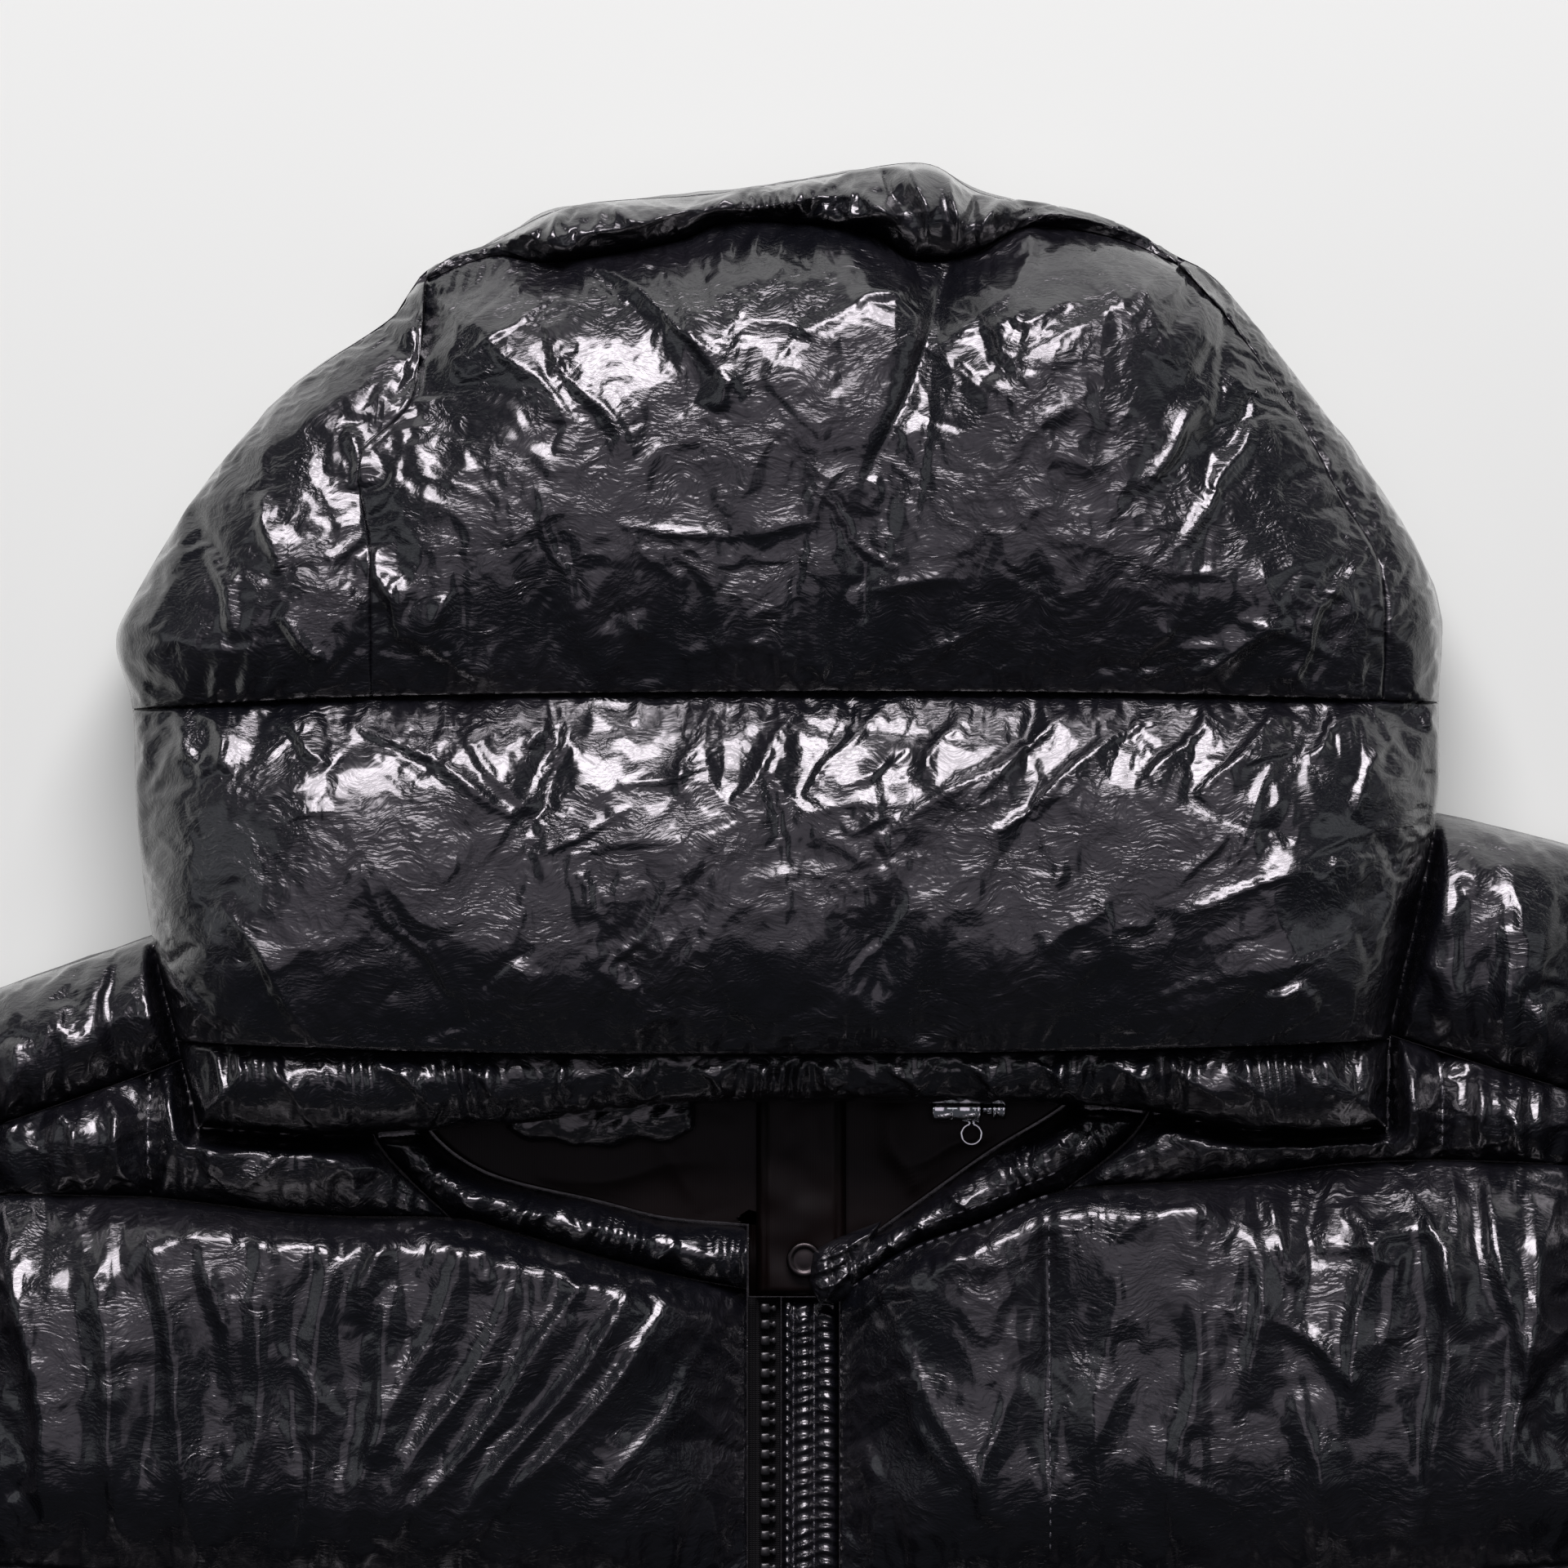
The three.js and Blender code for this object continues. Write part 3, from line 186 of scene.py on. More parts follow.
def crinkled_nylon(name, crinkle=1.0):
    """Nylon crushed in patches: creased facets, long ridges and a fine grain, drawn out along x."""
    made, shader, wire, place = new_material(name)
    drift = wire.node("ShaderNodeTexNoise", {}, {"Vector": place, "Scale": 55.0, "Detail": 1.0}, "Color")
    bent = wire.node("ShaderNodeVectorMath", {"operation": "MULTIPLY_ADD"}, {
        0: drift, 1: (BEND, BEND, BEND), 2: place,
    })
    drawn = wire.node("ShaderNodeVectorMath", {"operation": "MULTIPLY"}, {0: bent, 1: (DRAW, 1.0, 1.0)})

    def cloud(scale, detail, twist, where=place):
        return wire.node("ShaderNodeTexNoise", {}, {
            "Vector": where, "Scale": scale, "Detail": detail, "Roughness": 0.55, "Distortion": twist,
        }, "Fac")

    def facets(scale):
        """Creased facets: flat tilts with a sharp crest between each and the next."""
        far = wire.node("ShaderNodeTexVoronoi", {}, {"Vector": bent, "Scale": scale}, "Distance")
        return far * (1 / scale)

    def patches(scale, low, high):
        return wire.node("ShaderNodeValToRGB", {"stops": [(low, 0), (high, 1)]}, {
            "Fac": cloud(scale, 2.0, 0.0),
        })

    crushed = patches(26.0, 0.42, 0.66)
    height = facets(95.0) * (FACET * crinkle) * (crushed * 0.75 + 0.25)
    height = height + facets(260.0) * (FINE_FACET * crinkle) * crushed
    ridges = abs(cloud(150.0, 2.0, 1.4, drawn) - 0.5) * (-RIDGE * crinkle)
    height = height + ridges * patches(40.0, 0.38, 0.6)
    grain = cloud(1050.0, 1.0, 0.0, drawn)
    feed(shader, {
        "Base Color": blended(crushed, NYLON_BLACK, NYLON_DUSK),
        "Roughness": crushed * 0.08 + grain * 0.12 + 0.2,
        "Normal": raised(height + grain * GRAIN),
    }, {
        "IOR": 1.5, "Coat Weight": 0.85, "Coat Roughness": 0.13, "Coat IOR": 1.5,
    })
    return made


shell_nylon = crinkled_nylon("shell_nylon")


# Back: one padded panel from hem to neck, sewn through into channels, lying flat on the table. Its
# padded upper edge wraps forward over each shoulder to the shoulder seam.
NAPE_TO_MIDDLE = 259.9146
SEAM_GAP = 0.3
HALF_GAP = SEAM_GAP / 2
BACK_LOFT = 24
SHOULDER_LOFT = 31
PANEL_BASE = BACK_LOFT + SEAM_GAP
EDGE_RIM = 2.5
CHEST_HALF = 281
HEM_HALF = 270
HEM_Y = -700
UNDERARM = (275, -330)
SHOULDER_X = 236
SHOULDER_LEFT_Y = -63.4
SHOULDER_RIGHT_Y = -20
SIDE_SHARE = 0.575
SEAM_LEVELS = (-660, -554, -446, -338, -230)
BACK_TOP = [
    [-236, -63.4], [-185, -46], [-96, -14], [-50, -31], [0, -38], [52, -28], [102, 4],
    [194, -10], [236, -20],
]
SHOULDER_SEAM_LEFT = [[-234.4, -101.9], [-186, -85], [-114, -56]]
SHOULDER_SEAM_RIGHT = [[114, -52], [195, -79], [234.4, -90.7]]
HOOD_OUTLINE = [
    [-171.5, -101], [-177.6, -76], [-184.8, -45.6], [-189.6, -9.6], [-190.6, 22], [-195.6, 40.8],
    [-190.8, 54], [-169.2, 88.8], [-142.8, 117.6], [-114, 138], [-104.4, 151.2], [-85.2, 159.6],
    [-61.2, 170.4], [-20.4, 174], [10.8, 178.8], [42, 183.1], [60, 174], [92.4, 167.5],
    [116.4, 156], [130.8, 146.4], [159.6, 110.4], [183.6, 76.8], [194.4, 50.4], [194, 24],
    [193.7, -7.2], [186, -45.6], [179.5, -75], [179, -101],
]
BRIM_EDGE = [
    [-171.5, -101], [-130, -103.5], [-78, -100], [-30, -94.5], [40, -94], [100, -95.5],
    [140, -102], [179, -101],
]
SHOULDER_FOLDS = [
    (-196, -50, -197, -90, 6, -5), (-184, -54, -180, -84, 5, 4), (-224, -76, -228, -98, 5, 4),
    (-212, -66, -208, -92, 5, 3), (199, -30, 205, -76, 6, -4), (216, -30, 218, -84, 8, 3),
    (226, -62, 222, -86, 5, 4),
]
HOOD_PLANE = 38
HOOD_CLEAR = 1.5
LINE_STEPS = 600


def spread(points):
    """The same line at even steps of its length."""
    points = np.asarray(points, float)
    run = np.concatenate([[0], np.cumsum(np.linalg.norm(np.diff(points, axis=0), axis=1))])
    steps = np.linspace(0, run[-1], LINE_STEPS + 1)
    return np.stack([np.interp(steps, run, points[:, k]) for k in (0, 1)], -1)


def smooth(rows):
    """A line that bends through its rows."""
    p = np.array(rows, float)
    last = len(p) - 1
    t = np.linspace(0, last, 80 * last + 1)
    i = np.minimum(t.astype(int), last - 1)
    w = (t - i)[:, None]
    before, here, there, after = p[np.maximum(i - 1, 0)], p[i], p[i + 1], p[np.minimum(i + 2, last)]
    leave, reach = (there - before) / 2, (after - here) / 2
    curve = (2 * here - 2 * there + leave + reach) * w**3
    return spread(curve + (3 * there - 3 * here - 2 * leave - reach) * w**2 + leave * w + here)


def at(line, share):
    steps = np.clip(share, 0, 1) * (len(line) - 1)
    return np.stack([np.interp(steps, np.arange(len(line)), line[:, k]) for k in (0, 1)], -1)


def stretch(line, start, end):
    return at(line, np.linspace(start, end, LINE_STEPS + 1))


def mirrored(line):
    return line * (-1, 1)


def joined(first, second, share):
    s = np.linspace(0, 1, LINE_STEPS + 1)
    return np.where((s < share)[:, None], at(first, s / share), at(second, (s - share) / (1 - share)))


def aside(line, distance):
    """The line moved sideways, to the left of its run."""
    run = np.gradient(line, axis=0)
    run /= np.linalg.norm(run, axis=1)[:, None]
    return line + np.stack([-run[:, 1], run[:, 0]], -1) * distance


def share_near(line, x, y):
    return np.argmin(np.hypot(line[:, 0] - x, line[:, 1] - y)) / (len(line) - 1)


def trimmed(line, start, end):
    """The line with its ends moved to new places."""
    s = np.linspace(0, 1, len(line))[:, None]
    return line + (start - line[0]) * (1 - s) ** 4 + (end - line[-1]) * s**4


def patch(bottom, top, left, right, us, vs):
    """Points of the surface between four lines, in rows along u."""
    u, v = us[None, :, None], vs[:, None, None]
    flat = at(bottom, us)[None] * (1 - v) + at(top, us)[None] * v
    flat = flat + at(left, vs)[:, None] * (1 - u) + at(right, vs)[:, None] * u
    corners = bottom[0] * (1 - u) * (1 - v) + bottom[-1] * u * (1 - v)
    return flat - corners - top[0] * (1 - u) * v - top[-1] * u * v


def even(length, step):
    return np.linspace(0, 1, max(2, round(length / step)) + 1)


def reaches(p, us, vs):
    """How far each point of a patch is from its bottom, its top, its left and its right."""
    tall = np.linalg.norm(p[-1] - p[0], axis=-1)[None]
    wide = np.linalg.norm(p[:, -1] - p[:, 0], axis=-1)[:, None]
    return vs[:, None] * tall, (1 - vs[:, None]) * tall, us[None] * wide, (1 - us[None]) * wide


def level(p, height):
    return np.dstack([p, np.full(p.shape[:2], float(height))])


def eased(share):
    share = np.clip(share, 0, 1)
    return share * share * (3 - 2 * share)


def rounded(distance, reach):
    return np.sqrt(1 - (1 - np.clip(distance / reach, 0, 1)) ** 2)


def held(distance, depth, reach, bend=0.75):
    """How far a seam holds cloth down: all of depth at the seam, nothing beyond its reach."""
    return 1 - depth * (1 - np.sin(pi / 2 * np.clip(distance / reach, 0, 1)) ** bend)


def noise(x, y, pitch, seed):
    """A smooth random rise from about -1 to 1, in waves of the given pitch."""
    turns = np.random.default_rng(seed).uniform(0, tau, (64, 64))
    x, y = x / pitch, y / pitch
    i, j = np.floor(x).astype(int), np.floor(y).astype(int)
    fx, fy = x - i, y - j

    def corner(right, up):
        turn = turns[(i + right) % 64, (j + up) % 64]
        return np.cos(turn) * (fx - right) + np.sin(turn) * (fy - up)

    ease_x, ease_y = fx**3 * (fx * (fx * 6 - 15) + 10), fy**3 * (fy * (fy * 6 - 15) + 10)
    low = corner(0, 0) + ease_x * (corner(1, 0) - corner(0, 0))
    high = corner(0, 1) + ease_x * (corner(1, 1) - corner(0, 1))
    return 1.5 * (low + ease_y * (high - low))


def crumple(x, y, seed, size=1.0):
    """The lasting creases of thin nylon, sharp along their crests."""
    aside_x, aside_y = 8 * noise(x, y, 37, seed), 8 * noise(x, y, 31, seed + 1)
    rise = np.zeros_like(x)
    for k, (pitch, high) in enumerate([(26, 1.7), (13, 0.8), (6, 0.3)]):
        crushed = np.clip(0.55 + noise(x, y, 2.6 * pitch, seed + 6 + k), 0.1, 1.3)
        rise += high * crushed * (0.4 - np.abs(noise(x + aside_x, y + aside_y, pitch, seed + 2 + k)))
    return rise * size


def gathers(distance, along, pitch, rise, reach=26):
    """Small waves that start at a seam and die out away from it, none quite like the next."""
    bent = along + 1.1 * pitch * noise(along, distance * 0.4, 3.4 * pitch, 11)
    reach = reach * (0.8 + 0.9 * noise(along, along * 0, 2.3 * pitch, 13))
    swell = np.minimum(distance / 4, 1) * np.exp(-distance / np.maximum(reach, 4))
    uneven = np.clip(0.55 + 1.2 * noise(along, distance, 3.1 * pitch, 12), 0, 1.5)
    return rise * swell * np.sin(tau * bent / pitch) * uneven


def creases(x, y, rows):
    """Folds from one point to another, steeper on the right of their run."""
    rise = np.zeros_like(x)
    for x1, y1, x2, y2, width, high in rows:
        run = np.array([x2 - x1, y2 - y1])
        length = np.hypot(*run)
        run = run / length
        s = ((x - x1) * run[0] + (y - y1) * run[1]) / length
        off = (y - y1) * run[0] - (x - x1) * run[1] + 0.2 * width * np.sin(s * 7 + x1)
        reach = width * np.where(off > 0, 1.0, 0.42)
        past = np.maximum(0, np.maximum(-s, s - 1)) * length / width
        ends = np.sin(pi * np.clip(s * 0.9 + 0.05, 0, 1)) ** 0.6
        rise += high * ends * np.exp(-(np.abs(off) / reach) ** 1.2 - past**2)
    return rise


def strewn(x, y, seed, count, lean, spread_angle, size=1.0):
    """Short sharp creases strewn over the cloth, most of them lying near the given direction."""
    draw = np.random.default_rng(seed)
    rows = []
    for _ in range(count):
        turn = radians(draw.normal(lean, spread_angle))
        long = draw.uniform(8, 34)
        x1, y1 = draw.uniform(x.min(), x.max()), draw.uniform(y.min(), y.max())
        width, high = draw.uniform(1.8, 4.6), draw.choice([-1, 1, 1]) * draw.exponential(0.5) * size
        x2, y2 = x1 + long * np.cos(turn), y1 + long * np.sin(turn)
        rows.append((x1, y1, x2, y2, width, np.clip(high, -1.8, 1.8)))
    return creases(x, y, rows)


def outline_inset(outline, x, y):
    """Distance inside a closed outline, negative outside."""
    a, b = outline, np.roll(outline, -1, axis=0)
    run = b - a
    px, py = x.reshape(-1, 1) - a[:, 0], y.reshape(-1, 1) - a[:, 1]
    s = np.clip((px * run[:, 0] + py * run[:, 1]) / (run**2).sum(1), 0, 1)
    nearest = np.hypot(px - s * run[:, 0], py - s * run[:, 1]).min(1)
    crosses = (a[:, 1] > y.reshape(-1, 1)) != (b[:, 1] > y.reshape(-1, 1))
    height = np.where(run[:, 1] == 0, 1e-9, run[:, 1])
    inside = (crosses & (px < run[:, 0] * py / height)).sum(1) % 2 == 1
    return np.where(inside, nearest, -nearest).reshape(x.shape)


hood_top = smooth(HOOD_OUTLINE)
hood_outline = np.concatenate([hood_top[::8], smooth(BRIM_EDGE)[::-1][8:-8:16]])


def under_hood(x, y, z):
    """The cloth's height, pressed down softly where the hood lies on it."""
    most = HOOD_PLANE + 5 * np.maximum(0, -outline_inset(hood_outline, x, y) - HOOD_CLEAR)
    return (z + most - np.sqrt((z - most) ** 2 + 6)) / 2


def lattice(rows, columns):
    """The four-sided faces between the points of a grid, and the points round its rim."""
    number = np.arange(rows * columns).reshape(rows, columns)
    faces = np.stack([number[:-1, :-1], number[:-1, 1:], number[1:, 1:], number[1:, :-1]], -1)
    rim = np.concatenate([number[0, :-1], number[:-1, -1], number[-1, :0:-1], number[:0:-1, 0]])
    return faces.reshape(-1, 4), rim


def new_object(name, points, loops, starts):
    """An object in the scene from points in millimetres and its faces' corners."""
    mesh = bpy.data.meshes.new(name)
    mesh.vertices.add(points.size // 3)
    mesh.vertices.foreach_set("co", (points / 1000).astype(np.float32).ravel())
    mesh.loops.add(loops.size)
    mesh.loops.foreach_set("vertex_index", loops.astype(np.int32).ravel())
    mesh.polygons.add(len(starts))
    mesh.polygons.foreach_set("loop_start", starts.astype(np.int32))
    mesh.update(calc_edges=True)
    made = bpy.data.objects.new(name, mesh)
    bpy.context.scene.collection.objects.link(made)
    return made


SLACK_STEPS = 12
FRAMES = 22


def inflate(grid, pinned, slack, pressure=3.0, cap=9.0):
    """Blows up a grid of cloth that is sewn down where it is pinned and cut too large elsewhere. Slack
    is 0 to 1 for each point, and cap is how far a point may move, in millimetres."""
    faces, _ = lattice(*pinned.shape)
    blank = new_object("blank", grid, faces, np.arange(0, faces.size, 4))
    mesh = blank.data
    pins = blank.vertex_groups.new(name="pins")
    pins.add([int(k) for k in np.flatnonzero(pinned)], 1.0, "REPLACE")
    full = blank.vertex_groups.new(name="full")
    steps = np.clip(np.round(slack * SLACK_STEPS), 0, SLACK_STEPS).astype(int).ravel()
    for step in range(SLACK_STEPS + 1):
        chosen = np.flatnonzero(steps == step)
        if len(chosen):
            full.add([int(k) for k in chosen], step / SLACK_STEPS, "REPLACE")
    cloth = blank.modifiers.new("cloth", "CLOTH")
    rules = cloth.settings
    rules.quality = 5
    rules.mass = 0.3
    rules.tension_stiffness = rules.compression_stiffness = 15
    rules.shear_stiffness = 5
    rules.bending_stiffness = 0.05
    rules.tension_damping = rules.compression_damping = rules.shear_damping = 5
    rules.bending_damping = 0.5
    rules.air_damping = 2
    rules.use_pressure = True
    rules.uniform_pressure_force = pressure
    rules.vertex_group_mass = "pins"
    rules.vertex_group_shrink = "full"
    rules.shrink_min, rules.shrink_max = -0.02, -0.14
    rules.effector_weights.gravity = 0
    cloth.collision_settings.use_collision = False
    cloth.collision_settings.use_self_collision = False
    cloth.point_cache.frame_end = FRAMES + 1
    for number in range(1, FRAMES + 1):
        bpy.context.scene.frame_set(number)
    done = blank.evaluated_get(bpy.context.evaluated_depsgraph_get()).data
    points = np.zeros(grid.size, np.float32)
    done.vertices.foreach_get("co", points)
    move = points.reshape(grid.shape) * 1000.0 - grid
    bpy.data.objects.remove(blank)
    bpy.data.meshes.remove(mesh)
    bpy.context.scene.frame_set(1)
    far = np.linalg.norm(move, axis=-1, keepdims=True)
    return grid + move * (cap * np.tanh(far / cap) / np.maximum(far, 1e-6))


def finer(grid):
    """The grid at half its steps, rounded between its points."""
    for axis in (0, 1):
        g = np.moveaxis(grid, axis, 0)
        ends = np.concatenate([[2 * g[0] - g[1]], g, [2 * g[-1] - g[-2]]])
        between = (9 * (ends[1:-2] + ends[2:-1]) - ends[:-3] - ends[3:]) / 16
        out = np.empty((2 * len(g) - 1, *g.shape[1:]))
        out[::2], out[1::2] = g, between
        grid = np.moveaxis(out, 0, axis)
    return grid


def border(rows, columns):
    edge = np.zeros((rows, columns), bool)
    edge[0], edge[-1], edge[:, 0], edge[:, -1] = True, True, True, True
    return edge


def shell(grid, walls):
    """A closed form: a grid of points on top, rings of wall below its rim, and a flat underside. Each
    wall row has an inset and a height, or a function that gives them for the rim's points."""
    faces, rim = lattice(*grid.shape[:2])
    quads, points = [faces], [grid.reshape(-1, 3)]
    edge = points[0][rim]
    run = np.roll(edge[:, :2], -2, axis=0) - np.roll(edge[:, :2], 2, axis=0)
    run /= np.maximum(np.linalg.norm(run, axis=1), 1e-9)[:, None]
    inward = np.stack([-run[:, 1], run[:, 0]], -1)
    loop = rim
    start = len(points[0])
    for inset, z in walls:
        inset = inset(edge) if callable(inset) else inset
        ring = np.concatenate([
            edge[:, :2] + inward * np.reshape(inset, (-1, 1)) * np.ones((len(edge), 1)),
            np.full((len(edge), 1), float(z)),
        ], 1)
        points.append(ring)
        below = np.arange(start, start + len(edge))
        quads.append(np.stack([below, np.roll(below, -1), np.roll(loop, -1), loop], -1))
        loop = below
        start += len(edge)
    return np.concatenate(points), np.concatenate(quads), loop[::-1]


def solid(name, shells, material):
    """One object from closed forms, moved from the nape's origin to the shared frame's."""
    corners, loops, starts = [], [], []
    offset = begun = 0
    for points, quads, cap in shells:
        corners.append(points + (0, NAPE_TO_MIDDLE, 0))
        loops += [quads.ravel() + offset, cap + offset]
        starts += [np.arange(begun, begun + quads.size, 4), [begun + quads.size][:len(cap)]]
        offset += len(points)
        begun += quads.size + len(cap)
    made = new_object(name, np.concatenate(corners), np.concatenate(loops), np.concatenate(starts))
    made.data.polygons.foreach_set("use_smooth", np.ones(len(made.data.polygons), bool))
    made.data.materials.append(material)
    return made


def fitted(piece, node, body="jacket"):
    """The piece rides its body and stands in for its node."""
    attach(piece, body)
    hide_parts(node)


side_left = smooth([[-HEM_HALF, HEM_Y], [-277, -640], [-CHEST_HALF, -500], [-279.5, -400], [-275, -330]])
armhole_left = smooth([
    [-275, -330], [-252, -285], [-239, -205], [-235, -125], [-SHOULDER_X, SHOULDER_LEFT_Y],
])
armhole_right = smooth([[275, -330], [252, -283], [239, -195], [235, -105], [SHOULDER_X, SHOULDER_RIGHT_Y]])
body_left = joined(side_left, armhole_left, SIDE_SHARE)
body_right = joined(mirrored(side_left), armhole_right, SIDE_SHARE)
hem = smooth([[-HEM_HALF, HEM_Y], [-140, HEM_Y - 3], [0, HEM_Y - 2], [140, HEM_Y - 3], [HEM_HALF, HEM_Y]])
back_top = smooth(BACK_TOP)


def quilted_side(bulge):
    """How far a padded edge stands out between its sewn channels, as an inset of its wall."""
    def inset(edge):
        near = np.min([np.abs(edge[:, 1] - level) for level in SEAM_LEVELS], 0)
        out = bulge * (1 - held(near, 1, 30)) - 1.6
        return out + 0.8 * noise(edge[:, 0] + edge[:, 1], edge[:, 1], 23, 5)
    return inset


PADDED_WALLS = [(quilted_side(1), 21), (quilted_side(3), 14), (quilted_side(4), 8), (4.2, 3.4), (10, 0)]
us, vs = even(540, 9), even(660, 9)
p = patch(hem, aside(back_top, -HALF_GAP), aside(body_left, -HALF_GAP), aside(body_right, HALF_GAP), us, vs)
shells = [shell(level(p, BACK_LOFT), PADDED_WALLS)]

for side, seam, line, start, end in (
    ("left", SHOULDER_SEAM_LEFT, back_top, 0, share_near(back_top, -100, -16)),
    ("right", SHOULDER_SEAM_RIGHT, back_top, share_near(back_top, 106, 3), 1),
):
    bottom, top = aside(smooth(seam), HALF_GAP), aside(stretch(line, start, end), 1.2)
    us, vs = even(125, 2.1), even(62, 2.1)
    p = patch(bottom, top, spread([bottom[0], top[0]]), spread([bottom[-1], top[-1]]), us, vs)
    x, y = p[..., 0], p[..., 1]
    below, above, from_left, from_right = reaches(p, us, vs)
    outer = from_left if side == "left" else from_right
    loft = SHOULDER_LOFT * rounded(above, 34) * held(below, 0.55, 24) * held(outer, 0.45, 24)
    z = BACK_LOFT + 1.5 + loft + gathers(below, x, 13, 3, 30) + creases(x, y, SHOULDER_FOLDS)
    grid = finer(inflate(np.dstack([p, z]), border(*z.shape), np.exp(-below / 26), cap=4))
    x, y = grid[..., 0], grid[..., 1]
    rise = crumple(x, y, 40) * 0.8 + strewn(x, y, 41, 70, 75, 25, 1.3)
    grid[..., 2] = under_hood(x, y, grid[..., 2] + rise)
    shells.append(shell(grid, [(0.5, BACK_LOFT - 6), (2.5, BACK_LOFT - 14)]))

fitted(solid("back", shells, shell_nylon), "back")


# Fronts: two padded panels, each sewn through from the side seam to the opening every 108 mm, so that
# the down stands up in channels and the nylon gathers along every seam.
FRONT_LOFT = 37
FRONT_WIDTH = 268
BAND_STEP = 2.5
CHANNEL_STEP = 5.4
OPENING_LEFT_X = -9.5 - SEAM_GAP
OPENING_RIGHT_X = 17.5 + SEAM_GAP
CENTRE_LEVELS = (-662, -556, -449, -342, -236)
QUILT_X = 78.7
QUILT_DEPTH = 6
YOKE_LINE_LEFT = [[-234.4, -121], [-186, -122], [-140, -127]]
CORNER_LEFT = [-97, -128.2]
BAND_LINE_LEFT = [[-81, -131.7], [-53, -139.6], [-30.5, -145.1], [-9.8, -149]]
YOKE_LINE_RIGHT = [[128, -116.6], [166, -112], [198, -111], [234.4, -112.3]]
CORNER_RIGHT = [84, -119.8]
BAND_LINE_RIGHT = [[21, -148.5], [40, -136.5], [60, -129]]
FRONT_FOLDS = [
    (-226, -124, -214, -214, 9, 7), (-205, -126, -190, -226, 10, 7.5), (-186, -126, -168, -232, 9, 7),
    (-170, -128, -160, -176, 6, 5), (-150, -132, -158, -224, 10, 7), (-132, -140, -142, -232, 8, 6),
    (-116, -130, -124, -156, 6, 5), (-112, -150, -128, -226, 9, 6), (-92, -134, -118, -196, 8, 5),
    (-79, -150, -118, -218, 8, 5), (-56, -146, -112, -220, 7, 6), (-42, -148, -92, -214, 6, 6.5),
    (-30, -151, -80, -212, 6, 6), (-18, -160, -50, -206, 7, 4), (30, -152, 62, -216, 7, 4),
    (36, -176, 48, -204, 6, 4), (66, -176, 58, -214, 7, 4), (98, -140, 92, -214, 10, 4),
    (122, -150, 116, -222, 10, 5), (141, -118, 150, -146, 4, 5), (140, -132, 138, -180, 6, 6),
    (146, -156, 168, -176, 5, 5), (156, -136, 190, -132, 6, 5), (166, -124, 176, -142, 5, 5.5),
    (174, -130, 164, -186, 7, 7), (184, -116, 200, -160, 6, 7), (196, -118, 190, -214, 8, 6),
    (206, -116, 218, -176, 6, 7), (222, -118, 214, -214, 8, 7), (152, -180, 160, -222, 7, 6),
]

first_line = {
    "left": smooth([*YOKE_LINE_LEFT, CORNER_LEFT, *BAND_LINE_LEFT]),
    "right": smooth([*BAND_LINE_RIGHT, CORNER_RIGHT, *YOKE_LINE_RIGHT]),
}


